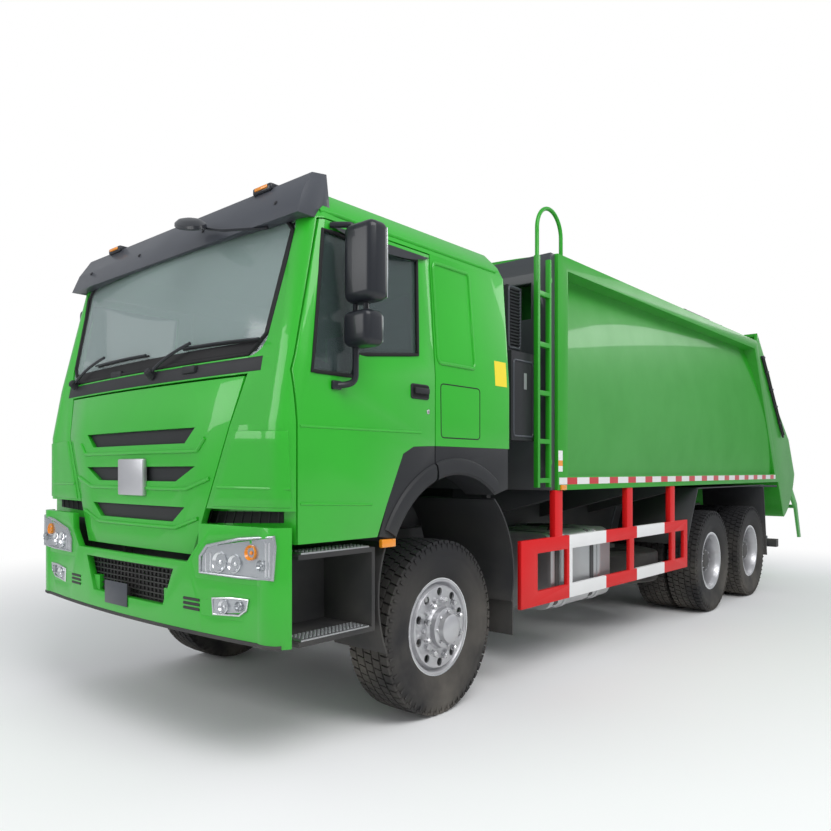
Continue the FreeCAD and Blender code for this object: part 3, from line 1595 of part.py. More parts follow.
blade_reach = dim.hopper_radius - dim.blade_clear
blade_plate = pad(
    "blade_plate",
    "YZ",
    (
        spot(knuckle_along + dim.blade_pin * 2, dim.carriage_offset - dim.blade_depth / 2),
        spot(knuckle_along + blade_reach * 0.6, dim.carriage_offset - dim.blade_depth),
        spot(knuckle_along + blade_reach * 0.97, dim.carriage_offset - dim.blade_depth * 1.6),
        spot(knuckle_along + blade_reach * 0.985, dim.carriage_offset - dim.blade_depth),
        spot(knuckle_along + blade_reach * 0.6, dim.carriage_offset + dim.blade_depth / 2),
        spot(knuckle_along + dim.blade_pin * 2, dim.carriage_offset + dim.blade_depth / 2),
    ),
    -dim.carriage_half + dim.hinge_wall + dim.side_clear,
    (dim.carriage_half - dim.hinge_wall - dim.side_clear) * 2,
)
knuckle = rod(
    "blade_knuckle", "X", -dim.carriage_half + dim.hinge_wall + dim.side_clear, pivot[0], pivot[1],
    dim.blade_pin * 2.2, (dim.carriage_half - dim.hinge_wall - dim.side_clear) * 2,
)
blade_bore = rod(
    "blade_bore", "X", -dim.carriage_half, pivot[0], pivot[1], dim.blade_pin + dim.running_gap, dim.carriage_half * 2
)
eye_along = knuckle_along + dim.sweep_lug_along
eye_off = dim.carriage_offset + dim.sweep_lug_off
blade_lugs = []
for number, sign in enumerate((1, -1)):
    lug_x = dim.sweep_x + (dim.sweep_radius * 0.5 + dim.side_clear) * sign
    if sign < 0:
        lug_x = lug_x - dim.hinge_wall / 2
    blade_lugs.append(
        pad(
            f"blade_lug_{number}",
            "YZ",
            (
                spot(eye_along - dim.overrun * 2, dim.carriage_offset),
                spot(eye_along + dim.overrun, dim.carriage_offset),
                spot(eye_along + dim.sweep_radius * 0.6, eye_off),
                spot(eye_along, eye_off + dim.sweep_radius * 0.6),
                spot(eye_along - dim.sweep_radius * 0.6, eye_off),
            ),
            lug_x,
            dim.hinge_wall / 2,
        )
    )
blade_parts = [blade_plate, knuckle]
for thing in blade_lugs:
    blade_parts += [thing, mirror(thing.Name + "_right", thing)]
node("sweep_blade", cut("blade", fuse("blade_solid", blade_parts), blade_bore))

barrel_end = spot(barrel_base + dim.overrun, slide_off)
slide_barrel = cut(
    "slide_barrel",
    strut("slide_tube", slide_x, spot(barrel_top, slide_off), barrel_end, dim.slide_radius),
    strut(
        "slide_bore", slide_x, spot(barrel_top - dim.overrun, slide_off),
        spot(barrel_base - dim.slide_radius * 0.5, slide_off), dim.slide_radius * 0.5 + dim.running_gap,
    ),
)
gate_parts += [slide_barrel, mirror("slide_barrel_right", slide_barrel)]
eye_spot = spot(eye_along, eye_off)
sweep_run = eye_spot[0] - foot_spot[0]
sweep_rise = eye_spot[1] - foot_spot[1]


def between(share):
    return (foot_spot[0] + sweep_run * share, foot_spot[1] + sweep_rise * share)


sweep_barrel = cut(
    "sweep_barrel",
    fuse(
        "sweep_barrel_solid",
        [
            strut("sweep_tube", dim.sweep_x, between(0.09), between(dim.sweep_barrel_share), dim.sweep_radius),
            strut("sweep_neck", dim.sweep_x, between(0.03), between(0.12), dim.sweep_radius * 0.45),
            rod(
                "sweep_eye", "X", dim.sweep_x - dim.sweep_radius * 0.5, foot_spot[0], foot_spot[1],
                dim.sweep_radius * 0.9, dim.sweep_radius,
            ),
        ],
    ),
    fuse(
        "sweep_barrel_voids",
        [
            strut("sweep_bore", dim.sweep_x, between(0.14), between(1.0), dim.sweep_radius * 0.42 + dim.running_gap),
            rod(
                "sweep_eye_bore", "X", dim.sweep_x - dim.sweep_radius, foot_spot[0], foot_spot[1],
                dim.sweep_radius * 0.35 + dim.running_gap, dim.sweep_radius * 2,
            ),
        ],
    ),
)
node("sweep_barrels", both("sweep_barrel_pair", sweep_barrel))
sweep_rod = fuse(
    "sweep_rod",
    [
        strut("sweep_rod_bar", dim.sweep_x, between(dim.sweep_barrel_share * 0.86), between(1.0), dim.sweep_radius * 0.42),
        rod(
            "sweep_rod_eye", "X", dim.sweep_x - dim.sweep_radius * 0.5, eye_spot[0], eye_spot[1],
            dim.sweep_radius * 0.6, dim.sweep_radius,
        ),
    ],
)
node("sweep_rods", both("sweep_rod_pair", sweep_rod))

# Tailgate lift cylinders on the roof
lift_eye_y = dim.hinge_y + dim.lift_arm_y
lift_length = lift_eye_y - lift_foot_y
lift_barrel = cut(
    "lift_barrel",
    rod(
        "lift_tube", "Y", lift_x, lift_foot_y + dim.lift_radius + dim.seat_gap, lift_z, dim.lift_radius,
        lift_length * dim.lift_barrel_share,
    ),
    rod(
        "lift_bore", "Y", lift_x, lift_foot_y + dim.lift_radius * 2, lift_z, dim.lift_radius * 0.5 + dim.running_gap,
        lift_length,
    ),
)
node("lift_barrels", both("lift_barrel_pair", lift_barrel))
lift_rod = rod(
    "lift_rod", "Y", lift_x, lift_foot_y + lift_length * dim.lift_barrel_share, lift_z, dim.lift_radius * 0.5,
    lift_length * (1 - dim.lift_barrel_share),
)
lift_eye = box(
    "lift_eye", lift_x - dim.lift_radius * 0.7, lift_eye_y - dim.lift_radius * 0.7, lift_z - dim.lift_radius * 0.7,
    dim.lift_radius * 1.4, dim.lift_radius * 1.4, dim.lift_radius * 1.4,
)
node("lift_rods", both("lift_rod_pair", fuse("lift_rod_solid", [lift_rod, lift_eye])))

# Ejector plate and bin lifter
ejector = pad(
    "ejector_plate",
    "YZ",
    (
        (dim.ejector_y, dim.body_floor + dim.body_wall + dim.seat_gap),
        (dim.ejector_y + dim.ejector_depth, dim.body_floor + dim.body_wall + dim.seat_gap),
        (dim.ejector_y + dim.ejector_depth, body_mid),
        (dim.ejector_y + dim.ejector_depth / 4, body_high - dim.body_wall),
        (dim.ejector_y, body_high - dim.body_wall),
    ),
    -dim.side_high_x + dim.body_wall * 3,
    (dim.side_high_x - dim.body_wall * 3) * 2,
)
node("ejector", ejector)
lifter_pivot = on_arc(dim.lifter_angle, outer_radius + dim.lifter_stand)
lifter_arm = pad(
    "lifter_arm",
    "YZ",
    (
        (lifter_pivot[0] - dim.lifter_pin * 2, lifter_pivot[1] + dim.lifter_pin),
        (lifter_pivot[0] + dim.lifter_pin, lifter_pivot[1] + dim.lifter_pin * 2),
        (lifter_pivot[0] + dim.lifter_reach * 0.62, lifter_pivot[1] - dim.lifter_drop * 0.32),
        (lifter_pivot[0] + dim.lifter_reach, lifter_pivot[1] - dim.lifter_drop),
        (lifter_pivot[0] + dim.lifter_reach * 0.86, lifter_pivot[1] - dim.lifter_drop),
        (lifter_pivot[0] + dim.lifter_reach * 0.5, lifter_pivot[1] - dim.lifter_drop * 0.42),
        (lifter_pivot[0] - dim.lifter_pin, lifter_pivot[1] - dim.lifter_pin * 2),
    ),
    gate_x - dim.tailgate_wall * 2,
    dim.tailgate_wall,
)
lifter_bar = rod(
    "lifter_bar", "X", -gate_x + dim.tailgate_wall, lifter_pivot[0] + dim.lifter_reach * 0.56,
    lifter_pivot[1] - dim.lifter_drop * 0.38, dim.lifter_pin, (gate_x - dim.tailgate_wall) * 2,
)
lifter_bore = rod(
    "lifter_bore", "X", -gate_x, lifter_pivot[0], lifter_pivot[1], dim.lifter_pin * 0.6 + dim.running_gap, gate_x * 2
)
node(
    "bin_lifter",
    cut("lifter", fuse("lifter_solid", [lifter_arm, mirror("lifter_arm_right", lifter_arm), lifter_bar]), lifter_bore),
)
lifter_plate = pad(
    "lifter_plate",
    "YZ",
    (
        on_arc(dim.lifter_angle * 0.75, outer_radius - dim.tailgate_wall / 3),
        (lifter_pivot[0] + dim.lifter_pin, lifter_pivot[1] + dim.lifter_pin),
        (lifter_pivot[0] + dim.lifter_pin, lifter_pivot[1] - dim.lifter_pin),
        on_arc(dim.lifter_angle * 1.5, outer_radius - dim.tailgate_wall / 3),
    ),
    gate_x - dim.tailgate_wall * 3.4,
    dim.tailgate_wall,
)
lifter_axle = rod(
    "lifter_axle", "X", gate_x - dim.tailgate_wall * 3, lifter_pivot[0], lifter_pivot[1], dim.lifter_pin * 0.6,
    dim.tailgate_wall * 2.2,
)
for thing in (lifter_plate, lifter_axle):
    gate_parts += [thing, mirror(thing.Name + "_right", thing)]
node("tailgate_shell", fuse("tailgate", gate_parts))

# Front axle beam with pin bosses, springs, drive axles with their propshaft
pin_x = dim.steer_pin_x
beam_low = dim.tyre_radius - dim.axle_drop
beam = pad(
    "axle_beam",
    "XZ",
    (
        (pin_x * 0.6, beam_low - dim.axle_beam_depth / 2),
        (pin_x * 0.85, dim.tyre_radius - dim.axle_beam_depth / 2),
        (pin_x, dim.tyre_radius - dim.axle_beam_depth / 2),
        (pin_x, dim.tyre_radius + dim.axle_beam_depth / 2),
        (pin_x * 0.8, dim.tyre_radius + dim.axle_beam_depth / 2),
        (pin_x * 0.55, beam_low + dim.axle_beam_depth / 2),
        (-pin_x * 0.55, beam_low + dim.axle_beam_depth / 2),
        (-pin_x * 0.8, dim.tyre_radius + dim.axle_beam_depth / 2),
        (-pin_x, dim.tyre_radius + dim.axle_beam_depth / 2),
        (-pin_x, dim.tyre_radius - dim.axle_beam_depth / 2),
        (-pin_x * 0.85, dim.tyre_radius - dim.axle_beam_depth / 2),
        (-pin_x * 0.6, beam_low - dim.axle_beam_depth / 2),
    ),
    -dim.axle_beam_width / 2,
    dim.axle_beam_width,
)
pin_bottom = dim.tyre_radius - dim.knuckle_height / 2
king_pin = rod("king_pin", "Z", pin_x, 0, pin_bottom, dim.steer_pin_radius, dim.knuckle_height)
boss = rod(
    "steer_boss", "Z", pin_x, 0, dim.tyre_radius - dim.axle_beam_depth / 2, dim.steer_boss_radius, dim.axle_beam_depth
)
yoke_wall = (dim.knuckle_height - dim.axle_beam_depth) / 2 - dim.running_gap * 2
yoke_half = dim.axle_beam_width / 2
yoke_parts = []
yoke_tip = pin_x + dim.steer_boss_radius + dim.side_clear
for number, z in enumerate((pin_bottom, dim.tyre_radius + dim.knuckle_height / 2 - yoke_wall)):
    yoke_parts.append(
        box(f"yoke_arm_{number}", pin_x - yoke_half, -yoke_half, z, yoke_tip - pin_x + yoke_half + dim.steer_pin_radius, yoke_half * 2, yoke_wall)
    )
yoke_parts += [
    box("yoke_web", yoke_tip, -yoke_half, pin_bottom, dim.steer_pin_radius, yoke_half * 2, dim.knuckle_height),
    rod(
        "spindle", "X", yoke_tip, 0, dim.tyre_radius, dim.spindle_radius,
        dim.front_wheel_x + front_hub_face - dim.disc_wall * 2 - yoke_tip - dim.running_gap * 2,
    ),
    box(
        "steer_arm", pin_x - yoke_half, yoke_half - dim.seat_gap, pin_bottom, yoke_half * 1.2,
        dim.steer_arm_length - yoke_half + dim.tie_rod_radius * 1.4, yoke_wall,
    ),
]
knuckle_bore = rod(
    "knuckle_bore", "Z", pin_x, 0, pin_bottom - dim.overrun, dim.steer_pin_radius + dim.running_gap,
    dim.knuckle_height + dim.overrun * 2,
)
knuckle_left = cut("knuckle_left_form", fuse("knuckle_solid", yoke_parts), knuckle_bore)
node("knuckle_left", knuckle_left)
node("knuckle_right", mirror("knuckle_right_form", knuckle_left))
tie_x = pin_x - yoke_half * 0.4
stud = rod(
    "tie_stud", "Z", tie_x - dim.tie_rod_radius, dim.steer_arm_length, pin_bottom - dim.tie_rod_radius - dim.side_clear,
    dim.tie_rod_radius * 0.6, dim.tie_rod_radius + dim.side_clear - dim.seat_gap,
)
node(
    "tie_rod",
    fuse(
        "tie_rod_solid",
        [
            rod(
                "tie_bar", "X", -tie_x, dim.steer_arm_length, pin_bottom - dim.tie_rod_radius - dim.side_clear,
                dim.tie_rod_radius, tie_x * 2,
            ),
            stud,
            mirror("tie_stud_right", stud),
        ],
    ),
)


def spring(name, y, length, low, high):
    """A leaf stack that curves up from the axle to its eyes under the rail."""
    return pad(
        name,
        "YZ",
        (
            (y - length / 2, high - dim.spring_depth / 3),
            Via(y, low),
            (y + length / 2, high - dim.spring_depth / 3),
            (y + length / 2, high),
            Via(y, low + dim.spring_depth),
            (y - length / 2, high),
        ),
        dim.spring_x - dim.spring_width,
        dim.spring_width,
    )


front_spring = spring(
    "front_spring", sized(0), dim.front_spring_length, beam_low + dim.axle_beam_depth / 2 - dim.seat_gap,
    rail_bottom - dim.seat_gap,
)
node(
    "front_axle",
    fuse(
        "front_axle_solid",
        [
            beam, king_pin, mirror("king_pin_right", king_pin), boss, mirror("steer_boss_right", boss),
            front_spring, mirror("front_spring_right", front_spring),
        ],
    ),
)
axle_parts = []
axle_reach = dim.rear_outer_x + rear_hub_face - dim.disc_wall * 2 - dim.running_gap * 2
for number, axle_y in enumerate(drive_axles, start=1):
    axle_parts += [
        rod(
            f"axle_tube_{number}", "X", -axle_reach,
            axle_y, dim.tyre_radius, dim.spindle_radius,
            axle_reach * 2,
        ),
        rod(
            f"axle_case_{number}", "X", -dim.rear_inner_x + tyre_half * 0.2, axle_y, dim.tyre_radius, dim.rear_axle_tube,
            (dim.rear_inner_x - tyre_half * 0.2) * 2,
        ),
        rod(
            f"banjo_{number}", "Y", 0, axle_y - dim.rear_axle_tube * 1.4, dim.tyre_radius, dim.banjo_radius * 0.9,
            dim.rear_axle_tube * 2.8,
        ),
    ]
shaft_front = dim.engine_rear + dim.gearbox_length + dim.seat_gap
axle_parts.append(
    rod(
        "propshaft", "Y", 0, shaft_front, dim.tyre_radius, dim.tie_rod_radius * 2.2,
        dim.wheelbase + dim.tandem_spacing - shaft_front,
    )
)
trunnion_y = dim.wheelbase + dim.tandem_spacing / 2
tandem_spring = pad(
    "tandem_spring",
    "YZ",
    (
        (dim.wheelbase - dim.spring_width, dim.tyre_radius + dim.rear_axle_tube * 0.6),
        (dim.wheelbase + dim.tandem_spacing + dim.spring_width, dim.tyre_radius + dim.rear_axle_tube * 0.6),
        (dim.wheelbase + dim.tandem_spacing + dim.spring_width, dim.tyre_radius + dim.rear_axle_tube * 1.2),
        (trunnion_y + dim.spring_width, rail_bottom - dim.seat_gap),
        (trunnion_y - dim.spring_width, rail_bottom - dim.seat_gap),
        (dim.wheelbase - dim.spring_width, dim.tyre_radius + dim.rear_axle_tube * 1.2),
    ),
    half_gauge - dim.spring_width,
    dim.spring_width,
)
axle_parts += [tandem_spring, mirror("tandem_spring_right", tandem_spring)]
node("rear_axles", fuse("rear_axle_solid", axle_parts))

# Engine, tank, exhaust, battery box, spare wheel
engine = fuse(
    "engine_block",
    [
        box(
            "engine_body", -dim.engine_half, dim.engine_front, dim.tyre_radius + dim.axle_beam_depth * 1.4,
            dim.engine_half * 2, dim.engine_rear - dim.engine_front,
            dim.engine_top - dim.tyre_radius - dim.axle_beam_depth * 1.4,
        ),
        box(
            "engine_feet", -web + dim.seat_gap, (dim.engine_front + dim.engine_rear) / 2,
            (rail_bottom + dim.rail_top - dim.engine_mount) / 2, (web - dim.seat_gap) * 2, dim.engine_mount,
            dim.engine_mount,
        ),
        box(
            "gearbox", -dim.gearbox_half, dim.engine_rear, dim.tyre_radius - dim.gearbox_half * 0.6,
            dim.gearbox_half * 2, dim.gearbox_length, dim.gearbox_half * 1.6,
        ),
    ],
)
node("engine", engine)
tank_body = pad(
    "tank_body",
    "XZ",
    (
        (dim.tank_inner, dim.tank_bottom),
        (dim.tank_outer, dim.tank_bottom),
        (dim.tank_outer, dim.tank_bottom + dim.tank_height),
        (dim.tank_inner, dim.tank_bottom + dim.tank_height),
    ),
    dim.tank_front,
    dim.tank_rear - dim.tank_front,
    rounds=(
        (
            dim.tank_round,
            (
                (dim.tank_inner, dim.tank_bottom),
                (dim.tank_outer, dim.tank_bottom),
                (dim.tank_outer, dim.tank_bottom + dim.tank_height),
                (dim.tank_inner, dim.tank_bottom + dim.tank_height),
            ),
        ),
    ),
)
tank_parts = [tank_body]
for number, share in enumerate((0.2, 0.75)):
    strap_y = dim.tank_front + (dim.tank_rear - dim.tank_front) * share
    tank_parts += [
        pad(
            f"strap_{number}",
            "XZ",
            (
                (dim.tank_inner - dim.strap_wall, dim.tank_bottom - dim.strap_wall),
                (dim.tank_outer + dim.strap_wall, dim.tank_bottom - dim.strap_wall),
                (dim.tank_outer + dim.strap_wall, dim.tank_bottom + dim.tank_height + dim.strap_wall),
                (dim.tank_inner - dim.strap_wall, dim.tank_bottom + dim.tank_height + dim.strap_wall),
            ),
            strap_y,
            dim.strap_width,
            rounds=(
                (
                    dim.tank_round + dim.strap_wall,
                    (
                        (dim.tank_outer + dim.strap_wall, dim.tank_bottom - dim.strap_wall),
                        (dim.tank_outer + dim.strap_wall, dim.tank_bottom + dim.tank_height + dim.strap_wall),
                    ),
                ),
            ),
        ),
        box(
            f"tank_arm_{number}", half_gauge + dim.seat_gap, strap_y, rail_bottom + dim.crossmember_depth / 2,
            dim.tank_inner - half_gauge - dim.seat_gap, dim.strap_width, dim.crossmember_depth,
        ),
    ]
node("fuel_tank", fuse("tank", tank_parts))
muffler = fuse(
    "muffler",
    [
        rod("muffler_can", "Y", -dim.muffler_x, dim.tank_front, dim.tank_bottom + dim.muffler_radius, dim.muffler_radius, dim.muffler_length),
        box(
            "muffler_arm", -dim.muffler_x, dim.tank_front + dim.muffler_length / 2, rail_bottom + dim.side_clear,
            dim.muffler_x - half_gauge - dim.seat_gap, dim.strap_width, dim.overrun,
        ),
    ],
)
node("exhaust", muffler)
battery = box(
    "battery_case", -dim.tank_outer, dim.tank_front + dim.muffler_length + dim.overrun * 2, dim.tank_bottom + dim.overrun,
    dim.tank_outer - half_gauge + dim.seat_gap, dim.battery_length, dim.tank_height * 0.8,
)
frame_parts.append(battery)
spare_y = dim.guard_rear - dim.tyre_radius - dim.overrun * 2
spare_z = rail_bottom - dim.tyre_width / 2 - dim.spare_drop
spare = group("spare", [tyre, inner_set])
spare.Placement = FreeCAD.Placement(FreeCAD.Vector(), FreeCAD.Rotation(FreeCAD.Vector(0, 1, 0), 90))
place(spare, dim.spare_x, spare_y, spare_z)
node("spare_wheel", group("spare_holder", [spare]))
carrier = box(
    "carrier_bar", -web, spare_y - dim.strap_width, spare_z + dim.tyre_width / 2 + dim.seat_gap,
    web + dim.spare_x + dim.hub_radius,
    dim.strap_width * 2, rail_bottom + dim.rail_wall / 2 - spare_z - dim.tyre_width / 2,
)
frame_parts.append(carrier)

# Side guards with their posts, steps, fender liners and rear mudguards
guard_parts = []
guard_x = half_width - dim.guard_depth
guard_length = dim.guard_rear - dim.guard_front
for number, z in enumerate((dim.guard_bottom, dim.guard_top - dim.guard_rail)):
    guard_parts.append(
        box(f"guard_rail_{number}", guard_x, dim.guard_front, z, dim.guard_depth, guard_length, dim.guard_rail)
    )
post_shares = (0.0, 0.21, 0.565, 0.87, 0.972)
post_width_shares = (2.2, 0.8, 0.9, 0.9, 0.9)
for number, (share, width_share) in enumerate(zip(post_shares, post_width_shares)):
    guard_parts.append(
        box(
            f"guard_post_{number}", guard_x, dim.guard_front + guard_length * share, dim.guard_bottom, dim.guard_depth,
            dim.guard_rail * width_share, dim.guard_top - dim.guard_bottom,
        )
    )
for number, bearer_y in enumerate(bearer_spots):
    guard_parts.append(
        box(
            f"guard_hanger_{number}", bearer_end + dim.seat_gap, bearer_y, dim.guard_top - dim.overrun,
            guard_x + dim.guard_depth * 0.8 - bearer_end - dim.seat_gap, dim.bearer_width,
            bearer_top - dim.guard_top + dim.overrun,
        )
    )
guard = fuse("guard", guard_parts)
node("side_guards", both("guard_pair", guard))
step_parts = [
    box("step_low", dim.step_inner, dim.step_front, dim.step_low, dim.step_width, dim.step_length, dim.step_wall),
    box("step_high", dim.step_inner, dim.step_front, dim.step_high - dim.step_wall, dim.step_width, dim.step_length, dim.step_wall),
    box(
        "step_back", dim.step_inner, dim.step_front, dim.step_low, dim.step_wall, dim.step_length,
        dim.step_high - dim.step_low,
    ),
    box(
        "step_side", dim.step_inner, dim.step_front + dim.step_length - dim.step_wall, dim.step_low, dim.step_width,
        dim.step_wall, dim.step_high - dim.step_low,
    ),
    box(
        "step_arm", half_gauge + dim.seat_gap, dim.step_front + dim.step_length / 2, dim.step_high - dim.step_wall * 4,
        dim.step_inner - half_gauge - dim.seat_gap, dim.overrun, dim.step_wall * 3,
    ),
]
node("cab_steps", both("step_pair", fuse("steps", step_parts)))


def round_point(centre, radius, angle):
    return (centre[0] + radius * cosine(angle), centre[1] + radius * sine(angle))


arch = (dim.arch_centre_y, dim.arch_centre_z)
liner = pad(
    "liner",
    "YZ",
    (
        round_point(arch, dim.liner_radius, dim.liner_low),
        Via(*round_point(arch, dim.liner_radius, (dim.liner_low + dim.liner_high) / 2)),
        round_point(arch, dim.liner_radius, dim.liner_high),
        round_point(arch, dim.liner_radius + dim.liner_wall, dim.liner_high),
        Via(*round_point(arch, dim.liner_radius + dim.liner_wall, (dim.liner_low + dim.liner_high) / 2)),
        round_point(arch, dim.liner_radius + dim.liner_wall, dim.liner_low),
    ),
    half_gauge + dim.spring_width,
    half_width - half_gauge - dim.spring_width - dim.panel_gap,
)
mud_flap = box(
    "front_mud_flap", dim.steer_pin_x, dim.arch_centre_y + dim.liner_radius, dim.flap_low, half_width - dim.steer_pin_x - dim.panel_gap * 2,
    dim.liner_wall, dim.arch_centre_z - dim.flap_low,
)
front_liner = pad(
    "front_liner",
    "YZ",
    (
        round_point(arch, dim.front_liner_radius, dim.front_liner_low),
        round_point(arch, dim.front_liner_radius + dim.liner_wall, dim.front_liner_low),
        Via(*round_point(arch, dim.front_liner_radius + dim.liner_wall, (dim.front_liner_low + dim.front_liner_high) / 2)),
        round_point(arch, dim.front_liner_radius + dim.liner_wall, dim.front_liner_high),
        round_point(arch, dim.front_liner_radius, dim.front_liner_high),
        Via(*round_point(arch, dim.front_liner_radius, (dim.front_liner_low + dim.front_liner_high) / 2)),
    ),
    dim.step_inner,
    half_width - dim.step_inner - dim.panel_gap,
)
front_liner_arm = box(
    "front_liner_arm", half_gauge + dim.seat_gap, dim.arch_centre_y - dim.front_liner_radius - dim.liner_wall * 2,
    rail_bottom + dim.overrun, dim.step_inner - half_gauge + dim.overrun, dim.liner_wall * 2, dim.overrun,
)
liner_arm = box(
    "liner_arm", half_gauge + dim.seat_gap, dim.arch_centre_y + dim.liner_radius + dim.liner_wall / 2,
    rail_bottom + dim.overrun, dim.spring_width + dim.overrun, dim.overrun, dim.overrun,
)
node("front_fenders", both("fender_pair", fuse("fender", [liner, mud_flap, liner_arm, front_liner, front_liner_arm])))
guard_top_z = dim.mudguard_top
mud = pad(
    "mudguard",
    "YZ",
    (
        (dim.mud_front, dim.mud_front_low),
        (dim.mud_front + dim.mud_slope * 0.4, guard_top_z - dim.mud_slope),
        (dim.mud_front + dim.mud_slope, guard_top_z),
        (dim.mud_rear - dim.mud_slope * 0.5, guard_top_z),
        (dim.mud_rear, dim.mud_rear_low),
        (dim.mud_rear - dim.mud_wall, dim.mud_rear_low),
        (dim.mud_rear - dim.mud_slope * 0.5 - dim.mud_wall, guard_top_z - dim.mud_wall),
        (dim.mud_front + dim.mud_slope + dim.mud_wall, guard_top_z - dim.mud_wall),
        (dim.mud_front + dim.mud_slope * 0.4 + dim.mud_wall, guard_top_z - dim.mud_slope - dim.mud_wall),
        (dim.mud_front + dim.mud_wall, dim.mud_front_low),
    ),
    half_gauge + dim.spring_width,
    half_width - half_gauge - dim.spring_width - dim.panel_gap,
)
mud_arm_parts = [mud]
for number, share in enumerate((0.25, 0.75)):
    mud_arm_parts.append(
        box(
            f"mud_arm_{number}", half_gauge + dim.seat_gap, dim.mud_front + (dim.mud_rear - dim.mud_front) * share,
            guard_top_z - dim.overrun - dim.mud_wall / 2, dim.spring_width + dim.overrun, dim.overrun, dim.overrun,
        )
    )
node("rear_mudguards", both("mudguard_pair", fuse("mudguard_solid", mud_arm_parts)))
underrun_arm = box(
    "underrun_arm", rail_inside, dim.frame_rear - dim.overrun, dim.underrun_z, dim.rail_flange,
    dim.underrun_y - dim.frame_rear + dim.overrun * 2, dim.underrun_depth,
)
underrun_drop = box(
    "underrun_drop", rail_inside, dim.frame_rear - dim.overrun, dim.underrun_z, dim.rail_flange, dim.overrun,
    dim.rail_top - dim.underrun_z,
)
frame_parts += [
    box(
        "underrun_beam", -half_width + dim.overrun, dim.underrun_y, dim.underrun_z, (half_width - dim.overrun) * 2,
        dim.underrun_depth, dim.underrun_depth,
    ),
    underrun_arm,
    mirror("underrun_arm_right", underrun_arm),
    underrun_drop,
    mirror("underrun_drop_right", underrun_drop),
]
tow_holes = []
for number, (side_share, rise_share) in enumerate(((0.5, 0.5), (0.5, -0.5), (-0.5, 0.5), (-0.5, -0.5))):
    tow_holes.append(
        rod(
            f"tow_hole_{number}", "Y", dim.tow_hole_span * side_share, dim.frame_rear - dim.crossmember_width * 2,
            dim.rail_top - dim.rail_wall - dim.crossmember_depth / 2 + dim.tow_hole_rise * rise_share,
            dim.tow_hole_radius, dim.crossmember_width * 3,
        )
    )
node("chassis_frame", cut("frame", fuse("frame_solid", frame_parts), fuse("tow_holes", tow_holes)))
intake = fuse(
    "intake",
    [
        pad(
            "filter_box",
            "YZ",
            (
                (dim.intake_front, dim.intake_bottom),
                (dim.intake_front + dim.intake_depth, dim.intake_bottom),
                (dim.intake_front + dim.intake_depth, dim.intake_bottom + dim.intake_height),
                (dim.intake_front, dim.intake_bottom + dim.intake_height),
            ),
            dim.intake_inner,
            dim.intake_width,
        ),
        box(
            "intake_stack", dim.intake_inner + dim.intake_width * 0.2, dim.intake_front + dim.intake_depth * 0.2,
            dim.intake_bottom + dim.intake_height - dim.overrun, dim.intake_width * 0.6, dim.intake_depth * 0.6,
            dim.stack_height + dim.overrun,
        ),
        box(
            "intake_foot", half_gauge - dim.rail_flange, dim.intake_front + dim.intake_depth * 0.4, dim.rail_top + dim.seat_gap, dim.intake_inner - half_gauge + dim.rail_flange + dim.overrun,
            dim.overrun, dim.overrun,
        ),
        box(
            "intake_leg", dim.intake_inner, dim.intake_front + dim.intake_depth * 0.4, dim.rail_top + dim.seat_gap, dim.overrun,
            dim.overrun, dim.intake_bottom - dim.rail_top + dim.overrun,
        ),
    ],
)
node("air_intake", intake)

# Front bumper: a curved skin cut to its stepped top edge, lamps and intake
bumper_profile_outer = (
    (half_width, dim.bumper_side_y),
    Via(half_width - dim.cab_corner * 0.25, dim.bumper_side_y - dim.cab_corner * 0.4),
    (half_width - dim.cab_corner, dim.bumper_front + dim.plan_curve * 1.2),
    Via(0, dim.bumper_front),
    (dim.cab_corner - half_width, dim.bumper_front + dim.plan_curve * 1.2),
    Via(dim.cab_corner * 0.25 - half_width, dim.bumper_side_y - dim.cab_corner * 0.4),
    (-half_width, dim.bumper_side_y),
    (-half_width + dim.bumper_wall, dim.bumper_side_y),
    Via(dim.cab_corner * 0.25 - half_width + dim.bumper_wall * 0.8, dim.bumper_side_y - dim.cab_corner * 0.4 + dim.bumper_wall * 0.7),
    (dim.cab_corner - half_width, dim.bumper_front + dim.plan_curve * 1.2 + dim.bumper_wall),
    Via(0, dim.bumper_front + dim.bumper_wall),
    (half_width - dim.cab_corner, dim.bumper_front + dim.plan_curve * 1.2 + dim.bumper_wall),
    Via(half_width - dim.cab_corner * 0.25 - dim.bumper_wall * 0.8, dim.bumper_side_y - dim.cab_corner * 0.4 + dim.bumper_wall * 0.7),
    (half_width - dim.bumper_wall, dim.bumper_side_y),
)
bumper_skin = pad(
    "bumper_skin", "XY", bumper_profile_outer, dim.bumper_bottom, dim.bumper_side_top - dim.bumper_bottom
)
notch = pad(
    "bumper_notch",
    "XZ",
    (
        (dim.flap_half_low + dim.panel_gap * 2, dim.bumper_mid_top),
        (dim.flap_half_low + dim.notch_slope, (dim.bumper_mid_top + dim.bumper_side_top) / 2),
        (dim.flap_half_low + dim.notch_slope * 1.1, dim.bumper_side_top + dim.overrun),
        (-dim.flap_half_low - dim.notch_slope * 1.1, dim.bumper_side_top + dim.overrun),
        (-dim.flap_half_low - dim.notch_slope, (dim.bumper_mid_top + dim.bumper_side_top) / 2),
        (-dim.flap_half_low - dim.panel_gap * 2, dim.bumper_mid_top),
    ),
    nose_start,
    nose_depth,
)
intake_hole = pad(
    "intake_hole",
    "XZ",
    (
        (dim.grille_half * 0.8, dim.grille_low),
        (dim.grille_half, dim.grille_high),
        (-dim.grille_half, dim.grille_high),
        (-dim.grille_half * 0.8, dim.grille_low),
    ),
    nose_start,
    nose_depth,
)


